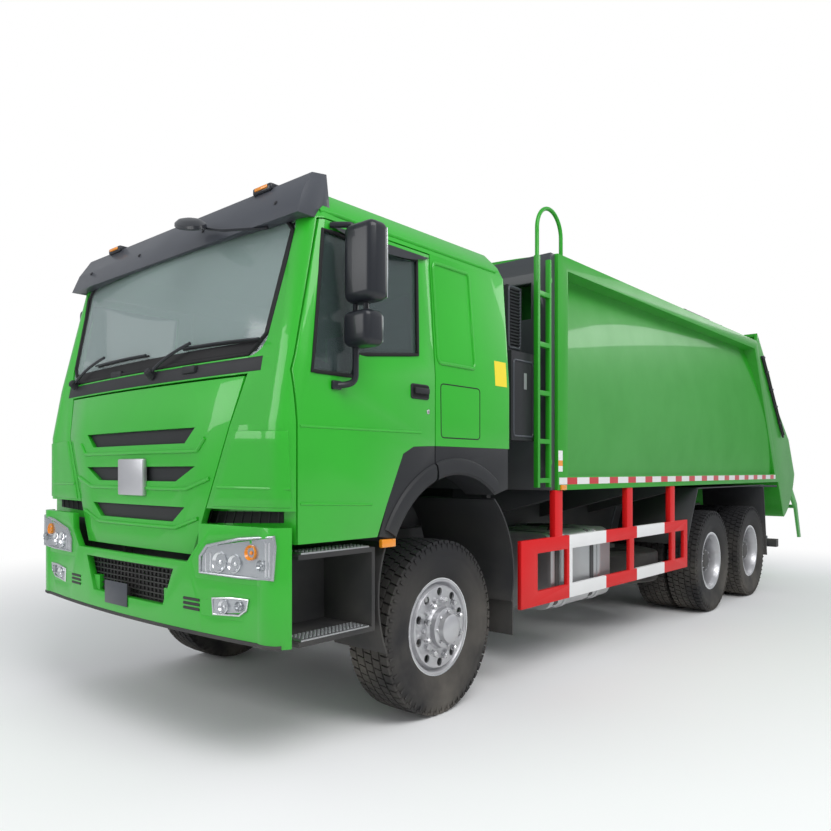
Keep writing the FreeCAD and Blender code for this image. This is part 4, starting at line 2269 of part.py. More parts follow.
def lamp_outline(shrink):
    return (
        (dim.lamp_inner + dim.lamp_slope * 0.3 + shrink, dim.lamp_bottom + shrink),
        (dim.lamp_outer - shrink, dim.lamp_bottom + shrink),
        (dim.lamp_outer - shrink, dim.lamp_top - shrink),
        (dim.lamp_inner + dim.lamp_slope + shrink, dim.lamp_top - dim.lamp_slope * 0.2 - shrink),
        (dim.lamp_inner + shrink, dim.lamp_bottom + dim.lamp_slope * 0.8),
    )


def fog_outline(shrink):
    return (
        (dim.fog_inner + shrink, dim.fog_bottom + shrink),
        (dim.fog_outer - shrink, dim.fog_bottom + shrink),
        (dim.fog_outer - shrink, dim.fog_bottom + dim.fog_height - shrink),
        (dim.fog_inner + shrink, dim.fog_bottom + dim.fog_height - shrink),
    )


lamp_hole = pad("lamp_hole", "XZ", lamp_outline(sized(0)), nose_start, nose_depth)
fog_hole = pad("fog_hole", "XZ", fog_outline(sized(0)), nose_start, nose_depth)
bumper_arm = box(
    "bumper_arm", half_gauge - dim.rail_flange, dim.bumper_front + dim.bumper_wall / 2 + dim.plan_curve / 4, dim.bumper_bottom + dim.overrun * 2,
    dim.rail_flange, dim.frame_front - dim.bumper_front - dim.bumper_wall / 2 - dim.plan_curve / 4 - dim.seat_gap,
    dim.overrun * 2,
)
bumper_cut = fuse(
    "bumper_cut",
    [notch, intake_hole, lamp_hole, mirror("lamp_hole_right", lamp_hole), fog_hole, mirror("fog_hole_right", fog_hole)],
)
bumper = fuse(
    "bumper", [cut("bumper_shell", bumper_skin, bumper_cut), bumper_arm, mirror("bumper_arm_right", bumper_arm)]
)
node("front_bumper", bumper)
lamp_fill = common("lamp_fill", [bumper_skin, pad("lamp_form", "XZ", lamp_outline(dim.seat_gap), nose_start, nose_depth)])
fog_fill = common("fog_fill", [bumper_skin, pad("fog_form", "XZ", fog_outline(dim.seat_gap), nose_start, nose_depth)])
node("head_lamps", group("lamp_set", [lamp_fill, mirror("lamp_fill_right", lamp_fill), fog_fill, mirror("fog_fill_right", fog_fill)]))

# Cab furnishing: arch flares, dashboard, steering wheel and seats
door_flare = pad(
    "door_flare",
    "YZ",
    (
        (dim.arch_front + dim.panel_gap * 2, dim.cab_bottom),
        round_point(arch, dim.arch_radius, dim.flare_door_low),
        Via(*round_point(arch, dim.arch_radius, dim.flare_door_mid)),
        (dim.door_rear, dim.flare_top),
        (dim.door_rear, dim.floor_height - dim.seat_gap),
        (dim.arch_peak_front, dim.floor_height - dim.panel_gap - dim.seat_gap),
        (
            dim.arch_front + (dim.arch_peak_front - dim.arch_front) * 0.7,
            dim.cab_bottom + (dim.floor_height - dim.cab_bottom) * 0.9 - dim.seat_gap * 2,
        ),
        (
            dim.arch_front + (dim.arch_peak_front - dim.arch_front) * 0.26,
            dim.cab_bottom + (dim.floor_height - dim.cab_bottom) * 0.354 - dim.seat_gap * 2,
        ),
    ),
    half_width - dim.door_flare_width,
    dim.door_flare_width,
)
node("door_flare_left", door_flare)
node("door_flare_right", mirror("door_flare_right_form", door_flare))
flare = pad(
    "flare",
    "YZ",
    (
        (dim.door_rear + dim.panel_gap, dim.floor_height - dim.seat_gap),
        (dim.door_rear + dim.panel_gap, dim.flare_top),
        Via(*round_point(arch, dim.arch_radius, dim.flare_mid)),
        round_point(arch, dim.arch_radius, dim.flare_low),
        (dim.cab_rear - dim.overrun, dim.flare_rear_low),
        (dim.cab_rear - dim.overrun, dim.floor_height - dim.seat_gap),
    ),
    half_width - dim.flare_width,
    dim.flare_width,
)
node("arch_flares", both("flare_pair", flare))
dash = pad(
    "dash",
    "YZ",
    (
        (dim.dash_front, dim.dash_bottom),
        (dim.dash_front + dim.dash_depth * 0.6, dim.dash_bottom),
        (dim.dash_front + dim.dash_depth, dim.dash_bottom + dim.dash_height * 0.4),
        (dim.dash_front + dim.dash_depth * 0.9, dim.dash_bottom + dim.dash_height),
        (dim.dash_front, dim.dash_bottom + dim.dash_height * 0.9),
    ),
    -dim.dash_half,
    dim.dash_half * 2,
)
column_low = (
    dim.hand_wheel_y - dim.column_reach * sine(dim.hand_wheel_lean),
    dim.hand_wheel_z - dim.column_reach * cosine(dim.hand_wheel_lean),
)
column_start = dim.hand_wheel_bar * 2 + dim.seat_gap
column_high = (
    dim.hand_wheel_y - column_start * sine(dim.hand_wheel_lean),
    dim.hand_wheel_z - column_start * cosine(dim.hand_wheel_lean),
)
column = strut("column", dim.seat_x, column_low, column_high, dim.hand_wheel_bar * 1.6)
dash_limit = cab_form("dash_limit", dim.cab_wall + dim.seat_gap * 8, dim.cab_wall * 1.4, low_front=dim.flap_recess)
node("dashboard", fuse("dash_set", [common("dash_body", [dash, dash_limit]), column]))
seat_parts = []
for side, x in (("left", dim.seat_x), ("right", -dim.seat_x)):
    seat_parts += [
        box(
            f"seat_cushion_{side}", x - dim.seat_width / 2, dim.seat_front, dim.seat_base, dim.seat_width, dim.seat_depth,
            dim.seat_thick,
        ),
        box(
            f"seat_back_{side}", x - dim.seat_width / 2, dim.seat_front + dim.seat_depth - dim.seat_thick * 0.4,
            dim.seat_base, dim.seat_width, dim.seat_thick, dim.seat_height,
        ),
    ]
for side, x in (("left", dim.seat_x), ("right", -dim.seat_x)):
    seat_parts.append(
        box(
            f"seat_base_{side}", x - dim.seat_width / 3, dim.seat_front + dim.overrun, dim.floor_height + dim.floor_wall + dim.seat_gap,
            dim.seat_width * 2 / 3, dim.seat_depth - dim.overrun, dim.seat_base - dim.floor_height - dim.floor_wall,
        )
    )
node("seats", fuse("seat_set", seat_parts))
wheel_ring = doc.addObject("Part::Torus", "wheel_ring")
bind(wheel_ring, "Radius1", dim.hand_wheel_radius)
bind(wheel_ring, "Radius2", dim.hand_wheel_bar)
wheel_hub = rod("wheel_hub", "Z", 0, 0, -dim.hand_wheel_bar * 2, dim.hand_wheel_bar * 2.5, dim.hand_wheel_bar * 4)
spoke = rod("wheel_spoke", "X", -dim.hand_wheel_radius, 0, 0, dim.hand_wheel_bar * 0.7, dim.hand_wheel_radius * 2)
hand_wheel = fuse("hand_wheel", [wheel_ring, wheel_hub, spoke])
hand_wheel.Placement = FreeCAD.Placement(FreeCAD.Vector(), FreeCAD.Rotation(FreeCAD.Vector(1, 0, 0), -float(dim.hand_wheel_lean)))
place(hand_wheel, dim.seat_x, dim.hand_wheel_y, dim.hand_wheel_z)
node("steering_wheel", group("hand_wheel_holder", [hand_wheel]))


def finish():
    doc.recompute()
    failed = [item.Name for item in doc.Objects if "Invalid" in item.State or "Error" in item.State]
    if failed:
        raise RuntimeError("failed objects: " + ", ".join(failed))
    os.makedirs("parts", exist_ok=True)
    for piece in nodes:
        shape = piece.Shape
        if shape.isNull() or not shape.isValid() or not shape.Solids:
            raise RuntimeError("bad shape: " + piece.Label)
        shape.exportStep(f"parts/{piece.Label}.step")
        print(piece.Label, len(shape.Solids), round(shape.Volume / 1e6, 2))


finish()
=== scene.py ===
import json
import math
import bmesh
import bpy
from mathutils import Matrix, Vector
from mathutils.bvhtree import BVHTree


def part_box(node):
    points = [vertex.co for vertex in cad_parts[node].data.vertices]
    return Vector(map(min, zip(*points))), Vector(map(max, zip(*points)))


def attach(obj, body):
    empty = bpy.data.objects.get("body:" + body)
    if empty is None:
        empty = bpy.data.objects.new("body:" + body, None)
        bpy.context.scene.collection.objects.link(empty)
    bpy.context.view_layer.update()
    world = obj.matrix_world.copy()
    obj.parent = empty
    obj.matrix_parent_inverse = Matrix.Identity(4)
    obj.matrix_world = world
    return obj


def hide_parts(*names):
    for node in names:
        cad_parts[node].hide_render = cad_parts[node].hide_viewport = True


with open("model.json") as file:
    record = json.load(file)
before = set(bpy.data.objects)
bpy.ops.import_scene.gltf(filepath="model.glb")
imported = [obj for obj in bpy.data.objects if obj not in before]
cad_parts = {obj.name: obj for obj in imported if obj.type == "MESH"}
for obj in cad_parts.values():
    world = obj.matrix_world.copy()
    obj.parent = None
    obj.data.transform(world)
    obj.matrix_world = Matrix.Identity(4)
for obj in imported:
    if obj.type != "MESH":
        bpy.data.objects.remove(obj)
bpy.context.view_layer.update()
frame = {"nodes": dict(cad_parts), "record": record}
nodes = frame["nodes"]
record = frame["record"]
nodeBody = {name: body for body, names in record["behaviour"]["bodies"].items() for name in names}
scene = bpy.context.scene
print("frame loaded:", len(nodes), "nodes")


def link(obj):
    scene.collection.objects.link(obj)
    return obj


# Camera
cameraValues = {"lens": 31.864, "sensor": 36, "shiftX": 0.0839, "shiftY": 0.0671, "turn": 43.85,
                "place": (3.77167, -7.14659, 1.45237)}
cameraData = bpy.data.cameras.new("camera")
cameraData.sensor_width = cameraValues["sensor"]
cameraData.lens = cameraValues["lens"]
cameraData.shift_x = cameraValues["shiftX"]
cameraData.shift_y = cameraValues["shiftY"]
camera = link(bpy.data.objects.new("camera", cameraData))
camera.location = cameraValues["place"]
camera.rotation_euler = (math.radians(90), 0, math.radians(cameraValues["turn"]))
scene.camera = camera
scene.view_settings.view_transform = "Standard"

# Studio: three lamps, a sky that lights the truck and a white background for the camera
studio = {
    "lamps": {
        "keyLight": {"place": (7, -5, 8.5), "target": (0, -1, 1.2), "size": (8, 5), "power": 620},
        "fillLight": {"place": (-3, -12, 5), "target": (0, -3, 1.4), "size": (6, 4), "power": 260},
        "backLight": {"place": (3, 10, 7), "target": (0, 2, 1.5), "size": (7, 4), "power": 200},
    },
    "sky": (0.93, 0.96, 1.0, 1), "skyStrength": 0.55, "white": (1, 1, 1, 1),
    "floorColour": (0.9, 0.9, 0.9, 1),
    "floorReach": 60, "floorRough": 0.9, "floorSpecular": 0.1, "fadeStart": 4.5, "fadeEnd": 9.0,
}


def addLamp(name, place, target, size, power):
    data = bpy.data.lights.new(name, "AREA")
    data.shape = "RECTANGLE"
    data.size, data.size_y = size
    data.energy = power
    lamp = link(bpy.data.objects.new(name, data))
    lamp.location = place
    lamp.rotation_euler = (Vector(target) - Vector(place)).to_track_quat("-Z", "Y").to_euler()


def feed(tree, node, inputs):
    # gives each input its value, or a link where the value is another node's output
    for key, value in inputs.items():
        if isinstance(value, bpy.types.NodeSocket):
            tree.links.new(value, node.inputs[key])
        else:
            node.inputs[key].default_value = value
    return node


def maker(tree):
    # a function that adds nodes to the tree, with their settings and inputs
    def make(kind, inputs=None, **settings):
        node = tree.nodes.new(kind)
        for key, value in settings.items():
            setattr(node, key, value)
        return feed(tree, node, inputs or {})

    return make


def calc(make, operation, *values):
    return make("ShaderNodeMath", dict(enumerate(values)), operation=operation).outputs[0]


for name, values in studio["lamps"].items():
    addLamp(name, **values)
world = bpy.data.worlds.new("studioWorld")
scene.world = world
world.use_nodes = True
world.node_tree.nodes.clear()
make = maker(world.node_tree)
sky = make("ShaderNodeBackground", {"Color": studio["sky"], "Strength": studio["skyStrength"]})
white = make("ShaderNodeBackground", {"Color": studio["white"], "Strength": 1.0})
cameraRay = make("ShaderNodeLightPath").outputs["Is Camera Ray"]
mix = make("ShaderNodeMixShader", {0: cameraRay, 1: sky.outputs[0], 2: white.outputs[0]})
make("ShaderNodeOutputWorld", {"Surface": mix.outputs[0]})


# Shader groups
def newGroup(name, inputs, outputs):
    group = bpy.data.node_groups.new(name, "ShaderNodeTree")
    for label, value in inputs.items():
        kind = "NodeSocketColor" if isinstance(value, tuple) else "NodeSocketFloat"
        group.interface.new_socket(label, in_out="INPUT", socket_type=kind).default_value = value
    for label, kind in outputs.items():
        group.interface.new_socket(label, in_out="OUTPUT", socket_type="NodeSocket" + kind)
    make = maker(group)
    return group, make, make("NodeGroupInput").outputs


def wearGroup():
    # dust near the ground, faint blotches and fine grain, from Object coordinates
    group, make, start = newGroup(
        "surfaceWear",
        {"Color": (0.5, 0.5, 0.5, 1), "Dust Color": (0.42, 0.38, 0.32, 1), "Roughness": 0.4, "Dust": 0.3,
         "Dust Top": 1.2, "Blotch": 0.08, "Grain Scale": 300.0, "Grain": 0.1},
        {"Color": "Color", "Roughness": "Float", "Height": "Float"},
    )
    spot = make("ShaderNodeTexCoord").outputs["Object"]
    blotch = make("ShaderNodeTexNoise", {"Vector": spot, "Scale": 2.3, "Detail": 6})
    grain = make("ShaderNodeTexNoise", {"Vector": spot, "Scale": start["Grain Scale"], "Detail": 3})
    height = make("ShaderNodeSeparateXYZ", {0: spot}).outputs["Z"]
    span = {"From Min": 0.0, "From Max": 1.0, "To Min": 1.0, "To Max": 0.0}
    fall = make("ShaderNodeMapRange", {"Value": calc(make, "DIVIDE", height, start["Dust Top"]), **span})
    shades = {"Value": blotch.outputs["Fac"], "From Min": 0.3, "From Max": 0.7}
    shade = make("ShaderNodeMapRange", shades).outputs[0]
    amount = calc(make, "MULTIPLY", calc(make, "MULTIPLY", fall.outputs[0], shade), start["Dust"])
    value = calc(make, "SUBTRACT", 1.0, calc(make, "MULTIPLY", shade, start["Blotch"]))
    tone = make("ShaderNodeHueSaturation", {"Color": start["Color"], "Value": value}).outputs[0]
    dusted = {"Factor": amount, "A": tone, "B": start["Dust Color"]}
    rough = calc(make, "MULTIPLY_ADD", amount, 0.5, start["Roughness"])
    make("NodeGroupOutput", {
        "Color": make("ShaderNodeMix", dusted, data_type="RGBA").outputs["Result"],
        "Roughness": calc(make, "MULTIPLY_ADD", shade, 0.08, rough),
        "Height": calc(make, "MULTIPLY", grain.outputs["Fac"], start["Grain"]),
    })
    return group


def stripeGroup():
    # two colours that take turns along Y, with the first one alone before the start
    group, make, start = newGroup(
        "bandStripes",
        {"First": (0.7, 0.02, 0.02, 1), "Second": (0.85, 0.85, 0.85, 1), "Pitch": 0.5, "Phase": 0.0,
         "Share": 0.5, "Start": -100.0},
        {"Color": "Color"},
    )
    along = make("ShaderNodeSeparateXYZ", {0: make("ShaderNodeTexCoord").outputs["Object"]}).outputs["Y"]
    turns = calc(make, "DIVIDE", calc(make, "SUBTRACT", along, start["Phase"]), start["Pitch"])
    step = calc(make, "GREATER_THAN", calc(make, "FRACT", turns), start["Share"])
    band = calc(make, "MULTIPLY", step, calc(make, "GREATER_THAN", along, start["Start"]))
    colours = {"Factor": band, "A": start["First"], "B": start["Second"]}
    make("NodeGroupOutput", {"Color": make("ShaderNodeMix", colours, data_type="RGBA").outputs["Result"]})
    return group


surfaceWear = wearGroup()
bandStripes = stripeGroup()


def makeMaterial(name, colour, roughness=0.4, metallic=0.0, dust=0.15, dustTop=1.2, blotch=0.06,
                 grainScale=300.0, grain=0.1, bump=0.0, coat=0.0, stripes=None, alpha=1.0, specular=0.3):
    material = bpy.data.materials.new(name)
    material.use_nodes = True
    tree = material.node_tree
    make = maker(tree)
    tone = (*colour, 1)
    if stripes:
        tone = make("ShaderNodeGroup", stripes, node_tree=bandStripes).outputs["Color"]
    wear = make("ShaderNodeGroup", {
        "Color": tone, "Roughness": roughness, "Dust": dust, "Dust Top": dustTop, "Blotch": blotch,
        "Grain Scale": grainScale, "Grain": grain,
    }, node_tree=surfaceWear).outputs
    shader = feed(tree, tree.nodes["Principled BSDF"], {
        "Base Color": wear["Color"], "Roughness": wear["Roughness"], "Metallic": metallic,
        "Coat Weight": coat,
        "Coat Roughness": 0.04, "Alpha": alpha, "Specular IOR Level": specular,
    })
    if bump:
        lift = make("ShaderNodeBump", {"Strength": bump, "Distance": 0.002, "Height": wear["Height"]})
        feed(tree, shader, {"Normal": lift.outputs["Normal"]})
    material.diffuse_color = (*colour, 1)
    return material


def glassMaterial(name, colour, roughness, alpha):
    material = makeMaterial(name, colour, roughness, 0, 0.02, 3.0, 0.03, 40, 0.0, alpha=alpha, specular=0.8)
    material.surface_render_method = "DITHERED"
    return material


# Paints: name, colour, roughness, metallic, dust, dust top, blotch, grain scale, grain, bump, coat, stripes
guardBands = {"First": (0.66, 0.004, 0.006, 1), "Second": (0.8, 0.8, 0.8, 1), "Pitch": 1.205,
              "Phase": -1.552, "Share": 0.493, "Start": -2.4}
tapeBands = {"First": (0.55, 0.01, 0.015, 1), "Second": (0.78, 0.78, 0.78, 1), "Pitch": 0.354,
             "Phase": -2.2, "Share": 0.44}
looks = {
    "green": ("greenPaint", (0.022, 0.42, 0.018), 0.34, 0, 0.08, 1.5, 0.07, 900, 0.3, 0.02, 0.55),
    "bodyGreen": ("bodyGreenPaint", (0.020, 0.32, 0.014), 0.42, 0, 0.04, 1.6, 0.08, 700, 0.3, 0.02, 0.22),
    "liftGreen": ("liftGreenPaint", (0.055, 0.40, 0.06), 0.4, 0, 0.2, 2.0, 0.12, 500, 0.3, 0.04, 0.3),
    "chassis": ("chassisPaint", (0.035, 0.037, 0.042), 0.5, 0, 0.35, 1.3, 0.1, 240, 0.4, 0.1),
    "bulkhead": ("bulkheadPaint", (0.05, 0.055, 0.062), 0.42, 0, 0.15, 2.2, 0.1, 240, 0.4, 0.08, 0.3),
    "blackPlastic": ("blackPlastic", (0.022, 0.023, 0.026), 0.5, 0, 0.22, 1.4, 0.1, 420, 0.5, 0.25),
    "mirrorPlastic": ("mirrorPlastic", (0.015, 0.017, 0.022), 0.3, 0, 0.0, 1.0, 0.08, 420, 0.5, 0.12, 0.2),
    "greyPlastic": ("greyPlastic", (0.06, 0.065, 0.078), 0.38, 0, 0.0, 1.0, 0.1, 380, 0.5, 0.15, 0.2),
    "rim": ("rimPaint", (0.55, 0.55, 0.57), 0.35, 0.75, 0.15, 0.9, 0.06, 500, 0.3, 0.05),
    "tyre": ("tyreRubber", (0.018, 0.018, 0.02), 0.72, 0, 0.4, 1.0, 0.15, 160, 0.6, 0.3),
    "redWhite": ("guardPaint", (0.62, 0.012, 0.018), 0.45, 0, 0.05, 1.0, 0.05, 500, 0.2, 0.03, 0.05, guardBands),
    "tape": ("reflectiveTape", (0.8, 0.8, 0.8), 0.3, 0, 0.05, 1.0, 0.04, 200, 0.3, 0.05, 0.5, tapeBands),
    "aluminium": ("tankAluminium", (0.5, 0.51, 0.52), 0.32, 0.9, 0.2, 1.0, 0.1, 600, 0.4, 0.06),
    "chrome": ("chromePlate", (0.75, 0.76, 0.78), 0.12, 1.0, 0.05, 1.0, 0.03, 600, 0.1, 0.01),
    "steel": ("rodSteel", (0.6, 0.6, 0.61), 0.22, 1.0, 0.05, 1.0, 0.05, 600, 0.2, 0.02),
    "lampWhite": ("lampReflector", (0.42, 0.44, 0.46), 0.2, 0.7, 0.0, 1.0, 0.04, 60, 0.4, 0.15, 0.5),
    "seatCloth": ("seatCloth", (0.05, 0.05, 0.055), 0.9, 0, 0.0, 1.0, 0.1, 700, 0.8, 0.5),
    "interior": ("cabTrim", (0.09, 0.09, 0.095), 0.6, 0, 0.0, 1.0, 0.08, 500, 0.5, 0.2),
    "rubberSeal": ("rubberSeal", (0.012, 0.012, 0.013), 0.6, 0, 0.05, 1.0, 0.05, 400, 0.3, 0.1),
    "amber": ("amberLens", (0.85, 0.28, 0.01), 0.15, 0, 0.0, 1.0, 0.03, 90, 0.2, 0.05, 0.8),
    "redLens": ("redLens", (0.6, 0.01, 0.01), 0.15, 0, 0.0, 1.0, 0.03, 90, 0.2, 0.05, 0.8),
    "yellow": ("yellowLabel", (0.85, 0.68, 0.03), 0.4, 0, 0.0, 1.0, 0.03, 300, 0.2, 0.02),
    "white": ("whiteLabel", (0.8, 0.8, 0.8), 0.4, 0, 0.0, 1.0, 0.03, 300, 0.2, 0.02),
    "hose": ("hoseRubber", (0.02, 0.02, 0.021), 0.45, 0, 0.1, 1.2, 0.05, 300, 0.3, 0.1),
}
paints = {key: makeMaterial(*row) for key, row in looks.items()}
paints["glass"] = glassMaterial("windowGlass", (0.06, 0.085, 0.085), 0.03, 0.6)
# windscreen glass: its pale grey-green colour is a glass tint plus a painted reflection of the sky
paints["screenGlassPaintedReflection"] = glassMaterial("screenGlassPaintedReflection", (0.40, 0.50, 0.49), 0.03, 0.42)
print("materials made:", len(paints))

# Helpers for pieces
frontAxle = -3.58
origin = Vector((0, 0, 0))
inward, rearward = (-1, 0, 0), (0, 1, 0)


def at(x, y, z):
    # millimetres from the front axle's middle on the ground, to the frame's metres
    return Vector((x / 1000, y / 1000 + frontAxle, z / 1000))


def sideLine(x, pairs):
    return [at(x, y, z) for y, z in pairs]


def flipped(point):
    return Vector((-point.x, point.y, point.z))


def painted(obj, paint):
    if paint is not None:
        obj.data.materials.clear()
        obj.data.materials.append(paints[paint])
    return obj


def tidyNormals(mesh):
    work = bmesh.new()
    work.from_mesh(mesh)
    bmesh.ops.remove_doubles(work, verts=work.verts, dist=1e-6)
    bmesh.ops.recalc_face_normals(work, faces=work.faces)
    work.to_mesh(mesh)
    work.free()


def sharpen(mesh, degrees):
    work = bmesh.new()
    work.from_mesh(mesh)
    limit = math.radians(degrees)
    for edge in work.edges:
        edge.smooth = len(edge.link_faces) == 2 and edge.calc_face_angle(0) < limit
    work.to_mesh(mesh)
    work.free()


def settle(obj, body, smooth=30):
    # puts a finished piece on its body, with smooth shading up to an angle
    obj.data.shade_smooth()
    sharpen(obj.data, smooth)
    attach(obj, body)
    return obj


def evaluated(obj):
    return bpy.data.meshes.new_from_object(obj.evaluated_get(bpy.context.evaluated_depsgraph_get()))


def applied(obj):
    # the evaluated mesh of an object with modifiers, as a plain mesh on it
    bpy.context.view_layer.update()
    mesh = evaluated(obj)
    obj.modifiers.clear()
    obj.data = mesh
    return obj


def meshObject(name, points, faces):
    mesh = bpy.data.meshes.new(name)
    mesh.from_pydata([tuple(p) for p in points], [], faces)
    mesh.update()
    return link(bpy.data.objects.new(name, mesh))


def solid(name, paint, points, faces):
    # a closed mesh whose faces all look outward
    obj = meshObject(name, points, faces)
    tidyNormals(obj.data)
    return painted(obj, paint)


def rounded(obj, width, segments=2, angle=30):
    bevel = obj.modifiers.new("bevel", "BEVEL")
    bevel.width = width
    bevel.segments = segments
    bevel.limit_method = "ANGLE"
    bevel.angle_limit = math.radians(angle)
    bevel.use_clamp_overlap = True
    return applied(obj)


def blockMesh(low, high):
    x0, y0, z0 = low
    x1, y1, z1 = high
    points = [(x0, y0, z0), (x1, y0, z0), (x1, y1, z0), (x0, y1, z0)]
    points += [(x0, y0, z1), (x1, y0, z1), (x1, y1, z1), (x0, y1, z1)]
    return points, [(3, 2, 1, 0), (4, 5, 6, 7), (0, 1, 5, 4), (1, 2, 6, 5), (2, 3, 7, 6), (3, 0, 4, 7)]


def block(name, paint, low, high, width=0.004, segments=2, place=origin):
    corners = (Vector(low) + place, Vector(high) + place)
    return painted(rounded(meshObject(name, *blockMesh(*corners)), width, segments), paint)


def slab(name, paint, outline, push, width):
    # a closed outline pushed along a vector, with rounded edges
    count = len(outline)
    faces = [tuple(range(count)), tuple(range(2 * count - 1, count - 1, -1))]
    faces += [(i, i + count, (i + 1) % count + count, (i + 1) % count) for i in range(count)]
    points = list(outline) + [p + Vector(push) for p in outline]
    return painted(rounded(solid(name, None, points, faces), width), paint)


def tube(name, paint, points, radius, closed=False, smooth=True, sides=3):
    # a round bar along points; smooth bends it as one curve
    curve = bpy.data.curves.new(name, "CURVE")
    curve.dimensions = "3D"
    curve.bevel_depth = radius
    curve.bevel_resolution = sides
    curve.use_fill_caps = True
    spline = curve.splines.new("NURBS" if smooth else "POLY")
    spline.points.add(len(points) - 1)
    for point, place in zip(spline.points, points):
        point.co = (*place, 1)
    spline.use_cyclic_u = closed
    if smooth:
        spline.order_u = 3
        spline.use_endpoint_u = not closed
    bar = link(bpy.data.objects.new(name, curve))
    bpy.context.view_layer.update()
    mesh = evaluated(bar)
    bpy.data.objects.remove(bar)
    tidyNormals(mesh)
    return painted(link(bpy.data.objects.new(name, mesh)), paint)


def spin(name, paint, profile, centre=origin, steps=48):
    # a closed profile of (along X, radius) points turned round the X axis at centre
    points, faces = [], []
    count = len(profile)
    for i in range(steps):
        angle = 2 * math.pi * i / steps
        for along, radius in profile:
            points.append(
                (centre[0] + along, centre[1] + radius * math.cos(angle), centre[2] + radius * math.sin(angle))
            )
        near, far = i * count, (i + 1) % steps * count
        faces += [(near + k, near + (k + 1) % count, far + (k + 1) % count, far + k) for k in range(count)]
    return solid(name, paint, points, faces)


def turned(obj, centre, facing):
    # a piece made round the X axis at the origin, set at centre and facing a direction
    obj.data.transform(Vector((1, 0, 0)).rotation_difference(Vector(facing)).to_matrix().to_4x4())
    obj.data.transform(Matrix.Translation(centre))
    return obj


def disc(name, paint, profile, centre, facing, steps=32):
    return turned(spin(name, paint, profile, origin, steps), centre, facing)


def joined(name, objects):
    # several plain pieces as one, keeping each one's paint
    work = bmesh.new()
    materials = []
    for obj in objects:
        before = len(work.faces)
        work.from_mesh(obj.data)
        work.faces.ensure_lookup_table()
        own = obj.data.materials[0] if obj.data.materials else None
        if own not in materials:
            materials.append(own)
        for face in work.faces[before:]:
            face.material_index = materials.index(own)
    mesh = bpy.data.meshes.new(name)
    work.to_mesh(mesh)
    work.free()
    for material in materials:
        mesh.materials.append(material)
    for obj in objects:
        bpy.data.objects.remove(obj)
    return link(bpy.data.objects.new(name, mesh))


def mirrored(name, obj):
    # the same piece on the truck's other side
    mesh = obj.data.copy()
    mesh.transform(Matrix.Scale(-1, 4, (1, 0, 0)))
    tidyNormals(mesh)
    return link(bpy.data.objects.new(name, mesh))


def both(name, obj, bodies, smooth=30):
    # a left piece and its mirrored twin, on one body or each on its own
    left, right = (bodies, bodies) if isinstance(bodies, str) else bodies
    twin = mirrored(name + "_right", obj)
    obj.name = name + "_left"
    settle(obj, left, smooth)
    settle(twin, right, smooth)


# Geometry Nodes trees that repeat the object's own mesh
def repeatTree(name, ring):
    tree = bpy.data.node_groups.new(name, "GeometryNodeTree")
    kinds = {"Geometry": "Geometry", "Count": "Int", "Step": "Vector", "Centre": "Vector", "Paint": "Material"}
    sockets = {}
    for label, kind in kinds.items():
        socket = tree.interface.new_socket(label, in_out="INPUT", socket_type="NodeSocket" + kind)
        sockets[label] = socket.identifier
    tree.interface.new_socket("Geometry", in_out="OUTPUT", socket_type="NodeSocketGeometry")
    make = maker(tree)
    start = make("NodeGroupInput").outputs
    line = make("GeometryNodeMeshLine", {
        "Count": start["Count"], "Start Location": start["Centre"],
        "Offset": (0, 0, 0) if ring else start["Step"],
    })
    place = {"Points": line.outputs["Mesh"], "Instance": start["Geometry"]}
    if ring:
        turn = {0: start["Step"], "Scale": make("GeometryNodeInputIndex").outputs[0]}
        place["Rotation"] = make("ShaderNodeVectorMath", turn, operation="SCALE").outputs["Vector"]
    copies = make("GeometryNodeInstanceOnPoints", place).outputs[0]
    real = make("GeometryNodeRealizeInstances", {0: copies}).outputs[0]
    paint = make("GeometryNodeSetMaterial", {"Geometry": real, "Material": start["Paint"]})
    make("NodeGroupOutput", {0: paint.outputs[0]})
    return tree, sockets


ringRepeat = repeatTree("ringRepeat", True)
lineRepeat = repeatTree("lineRepeat", False)


def repeated(obj, kind, paint, count, step, centre):
    # runs a repeat tree on the piece and keeps the result as a plain mesh
    tree, sockets = kind
    modifier = obj.modifiers.new("repeat", "NODES")
    modifier.node_group = tree
    modifier[sockets["Count"]] = count
    modifier[sockets["Step"]] = tuple(step)
    modifier[sockets["Centre"]] = tuple(centre)
    modifier[sockets["Paint"]] = paints[paint]
    return painted(applied(obj), paint)


trees = {}


def surfaceOf(*names):
    # a ray-cast tree of the CAD nodes' own meshes
    if names not in trees:
        points, faces = [], []
        for name in names:
            base = len(points)
            mesh = nodes[name].data
            points += [v.co.copy() for v in mesh.vertices]
            faces += [tuple(base + i for i in p.vertices) for p in mesh.polygons]
        trees[names] = BVHTree.FromPolygons(points, faces)
    return trees[names]


def onto(point, direction, names, lift=0.0):
    # where a ray from beyond the point meets the nodes, lifted off the surface by lift
    direction = Vector(direction).normalized()
    hit = surfaceOf(*names).ray_cast(Vector(point) - direction * 3, direction)[0]
    if hit is None:
        print("ray missed:", names, [round(value, 3) for value in point])
        return Vector(point)
    return hit - direction * lift


# Sight lines: where the photograph's 831 x 831 frame shows a point of the named nodes
sight = {"focal": 735.5, "midX": 345.8, "midY": 471.3}


def seen(pixel, names, lift=0.0):
    turn = math.radians(cameraValues["turn"])
    ray = Vector((-math.sin(turn), math.cos(turn), (sight["midY"] - pixel[1]) / sight["focal"]))
    ray += Vector((math.cos(turn), math.sin(turn), 0)) * ((pixel[0] - sight["midX"]) / sight["focal"])
    ray.normalize()
    eye = Vector(cameraValues["place"])
    hit, normal, index, distance = surfaceOf(*names).ray_cast(eye, ray)
    if hit is None:
        print("nothing seen at", pixel, names)
        return eye + ray * 6
    return hit + normal * (-lift if normal.dot(ray) > 0 else lift)


